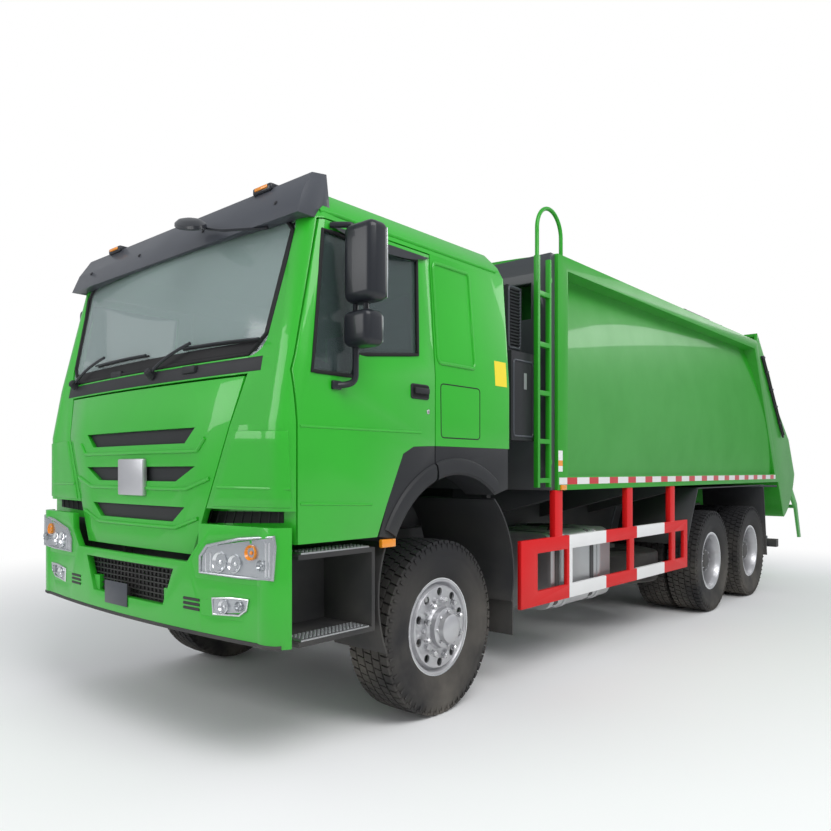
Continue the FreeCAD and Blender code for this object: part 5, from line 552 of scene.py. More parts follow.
def patch(name, paint, corners, direction, names, steps, thick):
    # a thin sheet between four corners, laid on the named nodes
    across, down = steps
    direction = Vector(direction).normalized()
    a, b, c, d = (Vector(corner) for corner in corners)
    low, top = [], []
    for i in range(across + 1):
        for k in range(down + 1):
            u, v = i / across, k / down
            hit = onto((a * (1 - u) + b * u) * (1 - v) + (d * (1 - u) + c * u) * v, direction, names)
            low.append(hit + direction * 0.002)
            top.append(hit - direction * thick)
    size, row = len(low), down + 1
    faces = []
    for s in (i * row + k for i in range(across) for k in range(down)):
        faces += [(s, s + 1, s + row + 1, s + row), (size + s, size + s + row, size + s + row + 1, size + s + 1)]
    edge = list(range(row)) + [i * row + down for i in range(1, across + 1)]
    edge += [across * row + k for k in range(down - 1, -1, -1)] + [i * row for i in range(across - 1, 0, -1)]
    faces += [(s, t, size + t, size + s) for s, t in zip(edge, edge[1:] + edge[:1])]
    return solid(name, paint, low + top, faces)


def ridge(name, paint, corners, direction, names, radius, steps=6, closed=False, lift=0.0, smooth=True):
    # a round bar along corners, each run laid on the named nodes
    corners = [Vector(corner) for corner in corners]
    points = []
    for start, stop in zip(corners, corners[1:] + (corners[:1] if closed else [])):
        points += [onto(start.lerp(stop, k / steps), direction, names, lift) for k in range(steps)]
    if not closed:
        points.append(onto(corners[-1], direction, names, lift))
    return tube(name, paint, points, radius, closed, smooth)


def rings(name, paint, profiles, count, closed=False):
    # a skin over profiles of count points each, one after the other
    runs = len(profiles) // count
    faces = []
    for i in range(runs if closed else runs - 1):
        s, t = i * count, (i + 1) % runs * count
        faces += [(s + k, s + (k + 1) % count, t + (k + 1) % count, t + k) for k in range(count)]
    if not closed:
        faces += [tuple(range(count - 1, -1, -1)), tuple((runs - 1) * count + k for k in range(count))]
    return solid(name, paint, profiles, faces)


# CAD nodes: a paint for each, and rounded edges on those that show
nodePaint = {
    "cab_shell": "green", "door_left": "green", "door_right": "green", "front_flap": "green",
    "front_bumper": "green",
    "body_shell": "bodyGreen", "tailgate_shell": "bodyGreen", "ladder": "bodyGreen", "carriage": "liftGreen",
    "sweep_blade": "liftGreen", "bin_lifter": "liftGreen", "ejector": "liftGreen",
    "front_bulkhead": "bulkhead",
    # the windscreen takes the glass whose pale colour paints in the sky's reflection
    "windscreen": "screenGlassPaintedReflection", "door_glass_left": "glass", "door_glass_right": "glass",
    "mirror_left": "mirrorPlastic", "mirror_right": "mirrorPlastic", "grille_mesh": "blackPlastic",
    "cowl": "blackPlastic", "sun_visor": "greyPlastic", "lift_barrels": "hose", "sweep_rods": "steel",
    "lift_rods": "steel", "fuel_tank": "aluminium", "air_intake": "blackPlastic", "side_guards": "redWhite",
    "cab_steps": "blackPlastic", "front_fenders": "blackPlastic", "arch_flares": "blackPlastic",
    "door_flare_left": "blackPlastic", "door_flare_right": "blackPlastic", "head_lamps": "green",
    "dashboard": "interior", "seats": "seatCloth", "steering_wheel": "interior", "spare_wheel": "tyre",
}
roundedNodes = (
    "cab_shell", "door_left", "door_right", "front_flap", "front_bumper", "sun_visor", "body_shell",
    "tailgate_shell", "side_guards", "fuel_tank", "cowl", "arch_flares", "door_flare_left",
    "door_flare_right",
    "cab_steps", "front_fenders", "air_intake", "front_rim_left", "front_rim_right", "front_bulkhead",
    "rear_mudguards", "bin_lifter", "ladder",
)
for name in nodes:
    kind = "tyre" if "tyre" in name else "rim" if "rim" in name else nodePaint.get(name, "chassis")
    nodePaint[name] = kind
    painted(nodes[name], kind)


def dressed(name, width):
    # the CAD node's own shape, with merged points and rounded edges, in place of the node
    mesh = nodes[name].data.copy()
    work = bmesh.new()
    work.from_mesh(mesh)
    bmesh.ops.remove_doubles(work, verts=work.verts, dist=2e-5)
    bmesh.ops.dissolve_limit(work, angle_limit=math.radians(0.8), verts=work.verts, edges=work.edges)
    work.to_mesh(mesh)
    work.free()
    obj = link(bpy.data.objects.new(name + "_dressed", mesh))
    if width:
        rounded(obj, width, 2, 32)
    settle(painted(obj, nodePaint[name]), nodeBody[name], 35)
    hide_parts(name)


def wheelName(part, side, number):
    # a front wheel's node or body has number 0, a twin wheel's has 1 or 2
    return f"drive_{part}s_{side}_{number}" if number else f"front_{part}_{side}"


wheelPlaces = [(side, sign, number) for side, sign in (("left", 1), ("right", -1)) for number in (0, 1, 2)]
for name in roundedNodes:
    dressed(name, 0.003)
for side, sign, number in wheelPlaces:
    if number:
        dressed(wheelName("rim", side, number), 0.0)
print("CAD nodes dressed")
truckBody = nodeBody["chassis_frame"]
cabBody = nodeBody["cab_shell"]
flapBody = nodeBody["front_flap"]
gateBody = nodeBody["tailgate_shell"]
doorBodies = (nodeBody["door_left"], nodeBody["door_right"])

# Tyres
tyreValues = {
    "half": 0.150, "outer": 0.522, "bead": 0.285, "grooveDepth": 0.014, "pitches": 56, "steps": 112,
    "lanes": ((-0.93, -0.60, 0.0, 0.80), (-0.55, -0.22, 0.5, 0.86), (-0.17, 0.17, 0.0, 0.86),
              (0.22, 0.55, 0.5, 0.86), (0.60, 0.93, 0.0, 0.80)),
    "skew": 0.08, "shoulder": 0.010, "lugLow": (0.90, 0.062, -0.007), "lugHigh": (0.985, 0.022, 0.007),
}


def tyre(name, centre):
    half, outer, bead = tyreValues["half"], tyreValues["outer"], tyreValues["bead"]
    base = outer - tyreValues["grooveDepth"]
    side = [
        (0.62, bead), (0.80, bead + 0.006), (0.90, bead + 0.03), (0.955, bead + 0.06), (0.985, bead + 0.10),
        (1.0, bead + 0.125), (0.985, bead + 0.150), (1.0, bead + 0.156), (0.975, bead + 0.185),
        (0.93, base - 0.016), (0.86, base - 0.002), (0.6, base + 0.001),
    ]
    profile = [(half * share, radius) for share, radius in side]
    profile += [(-x, radius) for x, radius in reversed(profile)]
    carcass = spin(name + "_carcass", "tyre", profile, centre, tyreValues["steps"])
    step = 2 * math.pi / tyreValues["pitches"]
    points, faces = [], []
    for left, right, phase, share in tyreValues["lanes"]:
        s = len(points)
        for radius, inset in ((base - 0.006, 0.0), (outer - 0.001, 0.012)):
            for across, skew in ((left + inset, -tyreValues["skew"]), (right - inset, tyreValues["skew"])):
                reach = radius - tyreValues["shoulder"] * max(0.0, abs(across) - 0.5)
                for along in (-share / 2, 0.0, share / 2):
                    angle = (phase + along + skew * (1 if along else -1)) * step
                    points.append((across * half, reach * math.cos(angle), reach * math.sin(angle)))
        faces += [
            (s, s + 1, s + 7, s + 6), (s + 1, s + 2, s + 8, s + 7), (s + 5, s + 4, s + 10, s + 11),
            (s + 4, s + 3, s + 9, s + 10), (s + 3, s, s + 6, s + 9), (s + 2, s + 5, s + 11, s + 8),
            (s + 6, s + 7, s + 10, s + 9), (s + 7, s + 8, s + 11, s + 10), (s + 1, s, s + 3, s + 4),
            (s + 2, s + 1, s + 4, s + 5),
        ]
    blocks = solid(name + "_blocks", None, points, faces)
    corners = [(half * x, outer - drop, z) for x, drop, z in (tyreValues["lugLow"], tyreValues["lugHigh"])]
    lug = meshObject(name + "_lug", *blockMesh(*corners))
    lugs = joined(name + "_lugs", [lug, mirrored(name + "_lug_right", lug)])
    for ring in (blocks, lugs):
        repeated(ring, ringRepeat, "tyre", tyreValues["pitches"], (step, 0, 0), centre)
    return joined(name, [carcass, blocks, lugs])


for side, sign, number in wheelPlaces:
    node = wheelName("tyre", side, number)
    low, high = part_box(node)
    middle = (low + high) / 2
    reach = Vector(((high.x - low.x) / 2 - tyreValues["half"], 0, 0))
    if number:
        pair = [tyre(f"{node}_{end}", middle + reach * end) for end in (1, -1)]
        piece = joined(node + "_tread", pair)
    else:
        piece = tyre(node + "_tread", middle)
    settle(piece, wheelName("wheel", side, number), 40)
    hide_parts(node)
print("tyres done")

# Flap: a lip under each slot, and a blank plate over the middle one
flapValues = {
    "lips": (((205, 438), (197, 451)), ((209.6, 478.6), (186.4, 489.3)), ((198, 518.8), (175.7, 527.7))),
    "lipRadius": 0.011, "plateEnds": ((125, 459), (125, 495)), "plateHalf": 0.135, "plateSunk": 0.01,
    "plateThick": 0.036, "plateRound": 0.010,
}
flapNodes = ("front_flap",)
noseY = -4.9
lips = []
for number, pixels in enumerate(flapValues["lips"]):
    a, b = (seen(pixel, flapNodes) for pixel in pixels)
    corners = (flipped(a), flipped(b), b, a)
    lips.append(ridge(f"lip_{number}", "green", corners, rearward, flapNodes, flapValues["lipRadius"], 8))
settle(joined("grille_lips", lips), flapBody)
ends = []
for pixel in flapValues["plateEnds"]:
    place = onto((0, noseY, seen(pixel, flapNodes).z), rearward, flapNodes)
    ends.append(place + Vector((0, flapValues["plateSunk"], 0)))
half = Vector((flapValues["plateHalf"], 0, 0))
corners = (ends[0] + half, ends[0] - half, ends[1] - half, ends[1] + half)
plate = slab("blank_plate", "rim", corners, (0, -flapValues["plateThick"], 0), flapValues["plateRound"])
settle(plate, flapBody)
print("flap done")

# Bumper: intake grille, blank plate, under-lip, fog lamp slats
bumperValues = {
    "grilleY": -1372, "grilleHalf": 0.472, "slats": 7, "slatStep": 0.029, "ribs": 24, "ribStep": 0.04,
    "lip": ((-1215, -1300), (-900, -1400), (900, -1400), (1215, -1300)), "lipZ": 638, "lipRadius": 0.012,
    "fogSlats": (757, 781, 805), "fogSlatEnds": (560, 686), "fogSlatRadius": 0.008,
}
grilleY, half = bumperValues["grilleY"], bumperValues["grilleHalf"]
back = block("grille_back", "blackPlastic", at(-478, grilleY, 712), at(478, grilleY + 8, 952))
slat = block("grille_slat", None, (-half, -0.016, -0.004), (half, 0.0, 0.004), 0.0015)
rib = block("grille_rib", None, (-0.003, -0.010, -0.1), (0.003, 0.0, 0.1), 0.001)
slatStep, ribStep = (0, 0, bumperValues["slatStep"]), (bumperValues["ribStep"], 0, 0)
repeated(slat, lineRepeat, "blackPlastic", bumperValues["slats"], slatStep, at(0, grilleY, 758))
repeated(rib, lineRepeat, "blackPlastic", bumperValues["ribs"], ribStep, at(-460, grilleY, 845))
settle(joined("intake_grille", [back, slat, rib]), truckBody)
backing = block("bumper_backing", "blackPlastic", at(740, -1268, 900), at(985, -1260, 1150))
both("bumper_backing", backing, truckBody)
plate = block("plate_panel", "greyPlastic", at(-215, -1448, 690), at(35, -1441, 822))
holder = block("plate_holder", "blackPlastic", at(-150, -1442, 720), at(-30, -1372, 790))
settle(joined("plate_mount", [plate, holder]), truckBody)
bumperNodes = ("front_bumper",)
corners = [at(x, y, bumperValues["lipZ"]) for x, y in bumperValues["lip"]]
radius = bumperValues["lipRadius"]
lip = ridge("bumper_lip", "blackPlastic", corners, rearward, bumperNodes, radius, 10, lift=-0.006)
settle(lip, truckBody)
slats = []
for z in bumperValues["fogSlats"]:
    corners = [at(x, -1400, z) for x in bumperValues["fogSlatEnds"]]
    radius = bumperValues["fogSlatRadius"]
    slats.append(ridge(f"fog_slat_{z}", "blackPlastic", corners, rearward, bumperNodes, radius, 4, lift=-0.002))
both("fog_slats", joined("fog_slats", slats), truckBody)

# Lamps: faces with bright bezels, bowls with bulbs, an amber bulb and vertical flutes at the ends
lampValues = {
    "outline": ((201, 556), (208, 545.5), (240, 539), (274, 537), (275, 547), (273, 580), (240, 577), (201, 572)),
    "face": ((204, 547), (274, 537.5), (272.5, 579.5), (201, 571.5)),
    "fogOutline": ((213, 598), (232, 598), (249, 600), (247, 610), (240, 615.5), (214, 614)),
    "fogFace": ((213, 598.5), (249, 600), (246.5, 612.5), (214, 613.5)), "faceWay": (-0.5, 0.86, 0),
    "thick": 0.004, "bezel": 0.009, "fogBezel": 0.007, "fluteRadius": 0.006,
    "flutes": ((206, 553, 571), (211, 553, 571), (266, 543, 577), (269.5, 543, 577)),
    "bowls": (("chrome", (221, 562), 0.050, 1.0), ("chrome", (236, 564), 0.044, 1.0),
              ("amber", (252, 553), 0.036, 1.1), ("lampWhite", (262, 566), 0.026, 1.0)),
    "fogBowls": (("chrome", (225, 606.5), 0.034, 1.0), ("lampWhite", (240, 606.5), 0.024, 1.0)),
    "cup": ((-0.012, 1.0), (0.014, 1.0), (0.016, 0.94), (0.013, 0.90), (-0.002, 0.55), (-0.006, 0.3),
            (0.006, 0.26), (0.010, 0.14), (0.011, 0.01), (-0.012, 0.01)),
}
lampNodes = ("head_lamps", "front_bumper")


def bowl(name, paint, pixel, radius, depth):
    x, y = pixel
    run = seen((x + 6, y), lampNodes) - seen((x - 6, y), lampNodes)
    facing = Vector((run.y, -run.x, 0)).normalized()
    facing.z = 0.12
    profile = [(along * depth, share * radius) for along, share in lampValues["cup"]]
    return disc(name, paint, profile, seen(pixel, lampNodes), facing.normalized(), 28)


def lampFace(name, steps, face, outline, lift, bezel, rim, bowls):
    corners = [seen(pixel, lampNodes) for pixel in face]
    ring = [seen(pixel, lampNodes, lift) for pixel in outline]
    way, thick = lampValues["faceWay"], lampValues["thick"]
    parts = [patch(name + "_face", "lampWhite", corners, way, lampNodes, steps, thick)]
    parts.append(tube(name + "_bezel", rim, ring, bezel, True, False))
    return parts + [bowl(f"{name}_bowl_{number}", *row) for number, row in enumerate(bowls)]


lamp = lampFace("lamp", (16, 3), lampValues["face"], lampValues["outline"], 0.004, lampValues["bezel"],
                "lampWhite", lampValues["bowls"])
for number, (x, high, low) in enumerate(lampValues["flutes"]):
    ends = [seen((x, y), lampNodes) for y in (high, low)]
    lamp.append(tube(f"lamp_flute_{number}", "chrome", ends, lampValues["fluteRadius"], False, False))
both("head_lamp_optics", joined("lamp_optics", lamp), truckBody)
fogLamp = lampFace("fog", (8, 2), lampValues["fogFace"], lampValues["fogOutline"], 0.003, lampValues["fogBezel"],
                   "chrome", lampValues["fogBowls"])
both("fog_lamp_optics", joined("fog_optics", fogLamp), truckBody)
print("bumper and lamps done")

# Windscreen: rubber seal, dark printed band, wipers
screenValues = {
    "lowHalf": 1.004, "highHalf": 1.068, "low": 2.034, "high": 2.752, "sealRadius": 0.012, "corner": 0.11,
    "band": (0.01, 0.065, 0.06, 0.03), "sideBand": (0.09, 0.06, 0.035, 0.008), "bandThick": 0.0012,
}
wiperValues = {
    "arms": (((77, 386), (92, 371), (110, 360)), ((153, 375), (170, 360), (196, 346))),
    "blades": (((101, 368), (126, 361), (151, 357)), ((186, 351), (226, 344), (264, 341))),
    "armLifts": (0.02, 0.05, 0.04), "armRadius": 0.009, "edgeLift": 0.014, "spineLift": 0.034,
    "bladeRadius": 0.006,
    "hub": ((-0.02, 0.028), (0.02, 0.026), (0.03, 0.018), (0.03, 0.001), (-0.02, 0.001)),
    "hubWay": (0, -0.8, 0.6),
    "washers": ((118, 375), (190, 370)), "washer": ((-0.06, -0.018, -0.02), (0.06, 0.01, 0.02)),
}
screenNodes = ("windscreen", "cab_shell", "cowl")


def screenPoint(side, height, inset=0.0):
    share = (height - screenValues["low"]) / (screenValues["high"] - screenValues["low"])
    reach = screenValues["lowHalf"] + (screenValues["highHalf"] - screenValues["lowHalf"]) * share - inset
    return Vector((side * reach, noseY, height))


low, high, corner = screenValues["low"], screenValues["high"], screenValues["corner"]
line = [screenPoint(-1, low, corner), screenPoint(-1, low + corner), screenPoint(-1, high - corner)]
line.append(screenPoint(-1, high, corner))
line += [flipped(point) for point in reversed(line)]
radius = screenValues["sealRadius"]
seal = ridge("screen_seal", "rubberSeal", line, rearward, screenNodes, radius, 8, True, smooth=False)
settle(seal, cabBody)
bottom, top, wide, narrow = screenValues["band"]
bands = {"low": (
    (-1, low + bottom, wide), (1, low + bottom, wide), (1, low + top, narrow), (-1, low + top, narrow),
)}
bottom, top, wide, narrow = screenValues["sideBand"]
for name, side in (("left", 1), ("right", -1)):
    bands[name] = ((side, low + bottom, wide), (side, high - top, wide), (side, high - top, narrow),
                   (side, low + bottom, narrow))
pieces = []
for name, corners in bands.items():
    corners = [screenPoint(*corner) for corner in corners]
    steps = (24, 2) if name == "low" else (12, 1)
    thick = screenValues["bandThick"]
    pieces.append(patch("screen_band_" + name, "rubberSeal", corners, rearward, ("windscreen",), steps, thick))
settle(joined("screen_bands", pieces), cabBody)
wipers = []
for number, (arm, blade) in enumerate(zip(wiperValues["arms"], wiperValues["blades"])):
    path = [seen(pixel, screenNodes, lift) for pixel, lift in zip(arm, wiperValues["armLifts"])]
    wipers.append(tube(f"wiper_arm_{number}", "mirrorPlastic", path, wiperValues["armRadius"]))
    for part, paint in (("edge", "rubberSeal"), ("spine", "mirrorPlastic")):
        points = [seen(pixel, screenNodes, wiperValues[part + "Lift"]) for pixel in blade]
        wipers.append(tube(f"wiper_{part}_{number}", paint, points, wiperValues["bladeRadius"]))
    hub, way = wiperValues["hub"], wiperValues["hubWay"]
    wipers.append(disc(f"wiper_hub_{number}", "blackPlastic", hub, path[0], way, 20))
for number, pixel in enumerate(wiperValues["washers"]):
    place = seen(pixel, screenNodes)
    wipers.append(block(f"washer_{number}", "blackPlastic", *wiperValues["washer"], 0.008, place=place))
settle(joined("wipers", wipers), cabBody)

# Sun visor: marker lamps, rivets and the kerb mirror
visorValues = {
    "lampSpot": (0.77, -4.62, 3.2), "base": ((-0.075, -0.045, -0.02), (0.075, 0.03, 0.022), 0.012, 3),
    "lens": ((-0.05, -0.052, -0.004), (0.05, -0.04, 0.014), 0.004, 2), "rivets": (0.96, 0.34, -0.34, -0.96),
    "rivetZ": 2.80, "rivetWay": (0, -0.85, 0.5),
    "rivet": ((-0.003, 0.012), (0.004, 0.011), (0.006, 0.006), (0.006, 0.001), (-0.003, 0.001)),
    "mount": (268, 226), "bend": (-0.28, -0.12, 0.02), "head": (-0.20, -0.02, 0.07), "arm": 0.008,
    "shell": ((-0.012, 0.004), (-0.012, 0.16), (-0.004, 0.175), (0.012, 0.168), (0.03, 0.12), (0.036, 0.06),
              (0.038, 0.004)),
    "squash": 0.42, "shellWay": (0.25, -0.35, 0.9),
}
visorNodes = ("sun_visor", "cab_shell")
fittings = []
for side in (1, -1):
    x, y, z = visorValues["lampSpot"]
    place = onto((side * x, y, z), (0, 0, -1), visorNodes)
    for part, paint in (("base", "mirrorPlastic"), ("lens", "amber")):
        fittings.append(block(f"marker_{part}_{side}", paint, *visorValues[part], place=place))
for number, x in enumerate(visorValues["rivets"]):
    place = onto((x, noseY, visorValues["rivetZ"]), rearward, ("sun_visor",))
    rivet, way = visorValues["rivet"], visorValues["rivetWay"]
    fittings.append(disc(f"visor_rivet_{number}", "blackPlastic", rivet, place, way, 16))
settle(joined("visor_fittings", fittings), cabBody)
mount = seen(visorValues["mount"], visorNodes, 0.01)
bend = mount + Vector(visorValues["bend"])
head = bend + Vector(visorValues["head"])
arm = tube("kerb_arm", "mirrorPlastic", [mount, mount.lerp(bend, 0.6), bend, head], visorValues["arm"])
dish = spin("kerb_shell", "mirrorPlastic", visorValues["shell"], origin, 32)
dish.data.transform(Matrix.Scale(visorValues["squash"], 4, (0, 1, 0)))
turned(dish, head, visorValues["shellWay"])
settle(joined("kerb_mirror", [arm, dish]), cabBody)
print("windscreen and visor done")

# Doors: window seal, handle, lock, deflector, creases
doorValues = {
    "window": ((-1050, 2636), (-1165, 1929), (-877, 1929), (-827, 2045), (-350, 2098), (-316, 2636)),
    "sealRadius": 0.010, "handle": ((-413, 1930), (-262, 1930), (-262, 1857), (-413, 1857)),
    "handleRadius": 0.006,
    "grip": (-330, 1893), "lever": ((0.002, -0.066, -0.012), (0.020, 0.062, 0.022)), "lock": (-264, 1786),
    "lockForm": ((-0.002, 0.014), (0.003, 0.013), (0.005, 0.009), (0.004, 0.001), (-0.002, 0.001)),
    "creases": (((300, 425.7), (421, 432.6)), ((300.5, 504), (372, 504.6))), "creaseRadius": 0.008,
    "deflector": {"start": -1000, "length": 800, "top": 2672, "drop": 62, "reach": 0.030, "steps": 18},
}
doorNodes, windowNodes = ("door_left",), ("door_left", "door_glass_left")
corners, radius = sideLine(1300, doorValues["window"]), doorValues["sealRadius"]
seal = ridge("door_seal", "rubberSeal", corners, inward, windowNodes, radius, 8, True, smooth=False)
both("door_seal", seal, doorBodies)
corners, radius = sideLine(1300, doorValues["handle"]), doorValues["handleRadius"]
grip, spot = (onto(at(1300, *doorValues[key]), inward, doorNodes) for key in ("grip", "lock"))
handle = [
    patch("handle_pad", "rubberSeal", corners, inward, doorNodes, (4, 3), 0.004),
    block("handle_lever", "blackPlastic", *doorValues["lever"], 0.007, 3, place=grip),
    ridge("handle_frame", "blackPlastic", corners, inward, doorNodes, radius, 4, True),
    disc("door_lock", "steel", doorValues["lockForm"], spot, (1, 0, 0), 20),
]
both("door_handle", joined("door_handle", handle), doorBodies)
wing = doorValues["deflector"]
profiles = []
for i in range(wing["steps"] + 1):
    share = i / wing["steps"]
    bulge = math.sin(math.pi * min(1, share * 1.02)) ** 0.6
    y = wing["start"] + wing["length"] * share
    high = onto(at(1300, y, wing["top"]), inward, windowNodes, 0.002)
    crest = at(1300, y, wing["top"] - wing["drop"] * bulge)
    low = onto(crest, inward, windowNodes, 0.004 + wing["reach"] * bulge)
    profiles += [high, low, low + Vector((-0.003, 0, 0.002)), high + Vector((-0.003, 0, -0.003))]
both("wind_deflector", rings("deflector", "mirrorPlastic", profiles, 4), doorBodies)
for number, pixels in enumerate(doorValues["creases"]):
    name, radius = f"door_crease_{number}", doorValues["creaseRadius"]
    ends = [seen(p, doorNodes) for p in pixels]
    both(name, ridge(name, "green", ends, inward, doorNodes, radius, 16, lift=-0.003), doorBodies)

# Mirrors: rounded heads with a glass on the rear face, on a post with two arms
mirrorValues = {
    "heads": {"tall": ((1.270, -4.575, 2.270), (1.470, -4.437, 2.655), 0.044),
              "small": ((1.270, -4.575, 2.058), (1.440, -4.437, 2.231), 0.036)},
    "glassEdge": Vector((0.018, 0, 0.022)), "post": Vector((1.304, -4.508, 0)),
    "foot": Vector((1.238, -4.580, 0)),
    "top": Vector((1.200, -4.580, 0)), "low": 1.874, "high": 2.672, "bar": 0.015, "link": 0.014,
    "linkStep": 0.07,
    "footForm": ((-0.004, -0.035, -0.022), (0.018, 0.03, 0.022)),
}
up = Vector((0, 0, 1))
post, foot, lowZ, highZ, bar = (mirrorValues[key] for key in ("post", "foot", "low", "high", "bar"))


def mirrorArm(name, start, level, heights, radius):
    # from the door to the post at one level, then along the post
    path = [start + up * level, (start + post) / 2 + up * level] + [post + up * height for height in heights]
    return tube(name, "mirrorPlastic", path, radius)


parts = []
for name, (low, high, width) in mirrorValues["heads"].items():
    parts.append(block("mirror_" + name, "mirrorPlastic", low, high, width, 5))
    face = Vector((low[0], high[1] - 0.006, low[2])) + mirrorValues["glassEdge"]
    far = Vector((high[0], high[1] + 0.001, high[2])) - mirrorValues["glassEdge"]
    parts.append(block("mirror_face_" + name, "chrome", face, far, 0.003))
for number in (0, 1):
    place = post + Vector((mirrorValues["linkStep"] * number, 0, 0))
    ends = [place + up * height for height in (2.2, 2.3)]
    parts.append(tube(f"mirror_link_{number}", "mirrorPlastic", ends, mirrorValues["link"]))
parts.append(mirrorArm("mirror_low_arm", foot, lowZ, (lowZ + 0.02, lowZ + 0.1, 2.09), bar * 1.1))
parts.append(mirrorArm("mirror_top_arm", mirrorValues["top"], highZ - 0.004, (highZ - 0.012, 2.6), bar))
footForm = mirrorValues["footForm"]
parts.append(block("mirror_foot", "mirrorPlastic", *footForm, 0.008, 3, place=foot + up * lowZ))
mirrorLeft = joined("mirror_left_set", parts)
mirrorRight = mirrored("mirror_right_set", mirrorLeft)
for node, piece in (("mirror_left", mirrorLeft), ("mirror_right", mirrorRight)):
    settle(piece, nodeBody[node])
    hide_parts(node)

# Wheel-arch lips: a rounded band around the arch, split where the door ends
archValues = {
    "centre": (17, 782), "steps": 24, "door": (151.0, 107.6, -900, -205), "cab": (107.4, 54.5, -190, 900),
    "profile": ((650, 1232), (650, 1247), (664, 1258), (700, 1263), (736, 1256), (748, 1244), (748, 1232)),
}


def archBand(name, first, last, low, high):
    points, steps, (y0, z0) = [], archValues["steps"], archValues["centre"]
    for i in range(steps + 1):
        angle = math.radians(first + (last - first) * i / steps)
        for reach, x in archValues["profile"]:
            y = min(max(y0 + reach * math.cos(angle), low), high)
            points.append(at(x, y, z0 + reach * math.sin(angle)))
    return rings(name, "blackPlastic", points, len(archValues["profile"]))


both("door_arch_lip", archBand("door_arch_lip", *archValues["door"]), doorBodies)
both("cab_arch_lip", archBand("cab_arch_lip", *archValues["cab"]), cabBody)

# Cab side: blind panel, locker lid, gutter, label, marker
cabNodes = ("cab_shell",)
cabLines = {
    "blind_panel": ("green", ((-172, 2655), (-168, 2075), (205, 2075), (190, 2655)),
                    0.011, True, 0.0, "body_green"),
    "locker_line": ("rubberSeal", ((-145, 1956), (-140, 1646), (255, 1646), (255, 1956)), 0.0035, True, -0.001,
                    "black_plastic"),
    "roof_gutter": ("green", ((-1040, 2737), (-400, 2737), (200, 2737), (520, 2737)), 0.012, False, 0.0,
                    "body_green"),
}
cabSide = {"label": ((430, 2150), (565, 2150), (565, 1992), (430, 1992)), "markerSpot": (-609, 1073),
           "marker": ((-0.01, -0.055, -0.022), (0.018, 0.055, 0.022))}
for name, (paint, pairs, radius, closed, lift, slot) in cabLines.items():
    line = ridge(name, paint, sideLine(1300, pairs), inward, cabNodes, radius, 6, closed, lift)
    both(name, line, cabBody)
label = patch("blank_label", "yellow", sideLine(1300, cabSide["label"]), inward, cabNodes, (3, 3), 0.001)
settle(label, cabBody)
markerNodes = ("cab_steps", "cab_shell", "door_left", "front_fenders")
place = onto(at(1300, *cabSide["markerSpot"]), inward, markerNodes)
both("side_marker", block("marker", "amber", *cabSide["marker"], 0.006, 3, place=place), truckBody)
print("doors and cab sides done")

# Cab front corners: a raised panel beside the flap, with the dark ribbed gap under it
cornerValues = {
    "panel": ((233, 431), (289, 431), (292, 508), (212, 506)),
    "gap": ((209, 511), (284, 512), (284, 523), (205, 523)),
    "crease": ((218, 487), (291, 489)), "ribs": 9, "way": (-0.35, 0.94, 0),
}
way = cornerValues["way"]
corners, ends, gap = ([seen(p, cabNodes) for p in cornerValues[key]] for key in ("panel", "crease", "gap"))
panel = rounded(patch("corner_panel", None, corners, way, cabNodes, (10, 6), 0.007), 0.004, 2, 40)
fold = ridge("corner_fold", "green", ends, way, cabNodes, 0.009, 6, lift=0.003)
both("corner_panel", joined("corner_set", [painted(panel, "green"), fold]), cabBody)
recess = [patch("corner_gap", "rubberSeal", gap, way, cabNodes, (8, 2), 0.003)]
for number in range(cornerValues["ribs"]):
    share = (number + 0.5) / cornerValues["ribs"]
    line = (gap[0].lerp(gap[1], share), gap[3].lerp(gap[2], share))
    recess.append(ridge(f"corner_rib_{number}", "blackPlastic", line, way, cabNodes, 0.005, 2, lift=0.003))
both("corner_gap", joined("corner_gap_set", recess), cabBody)

# Seats: padded cushions and backs, swelled by a cloth simulation, on hard bases
seatValues = {
    "x": 0.64, "half": 0.246, "cushion": ((-4.035, 1.786), (-3.572, 1.904)),
    "back": ((-3.552, 1.80), (-3.444, 2.585)),
    "crown": 0.34, "pull": 0.045, "squeeze": 0.07, "taper": 0.30, "cuts": 15, "voxel": 0.012, "pressure": 4.0,
    "quality": 4, "frames": 20, "swell": 0.010, "channelWidth": 0.014, "channelDepth": 0.010,
    "cushionChannels": (-3.92, -3.81, -3.70), "backChannels": (1.96, 2.10, 2.24, 2.38),
    "pipingPoints": 56, "pipingInset": 0.002, "pipingRadius": 0.0045,
}


def padForm(name, low, high, thin, taper=0.0):
    # a crowned closed pad between two corners; its sides pull in between its corners
    work = bmesh.new()
    bmesh.ops.create_cube(work, size=2)
    bmesh.ops.subdivide_edges(work, edges=work.edges, cuts=seatValues["cuts"], use_grid_fill=True)
    middle, half = (Vector(low) + Vector(high)) / 2, (Vector(high) - Vector(low)) / 2
    across, along = [axis for axis in range(3) if axis != thin]
    for vert in work.verts:
        u, v, w = vert.co[across], vert.co[along], vert.co[thin]
        edge = max(abs(u), abs(v)) ** 4
        narrow = 1 - taper * max(0.0, v) ** 2
        tuck = 1 - seatValues["squeeze"] * w ** 4
        place = Vector((0, 0, 0))
        place[across] = u * (1 - seatValues["pull"] * (1 - v * v)) * tuck * narrow
        place[along] = v * (1 - seatValues["pull"] * (1 - u * u)) * tuck
        place[thin] = w * (1 - seatValues["crown"] * edge * (1.0 if w > 0 or thin == 1 else 0.2))
        vert.co = middle + Vector((place.x * half.x, place.y * half.y, place.z * half.z))
    mesh = bpy.data.meshes.new(name)
    work.to_mesh(mesh)
    work.free()
    obj = link(bpy.data.objects.new(name, mesh))
    remesh = obj.modifiers.new("remesh", "REMESH")
    remesh.mode = "VOXEL"
    remesh.voxel_size = seatValues["voxel"]
    return applied(obj)


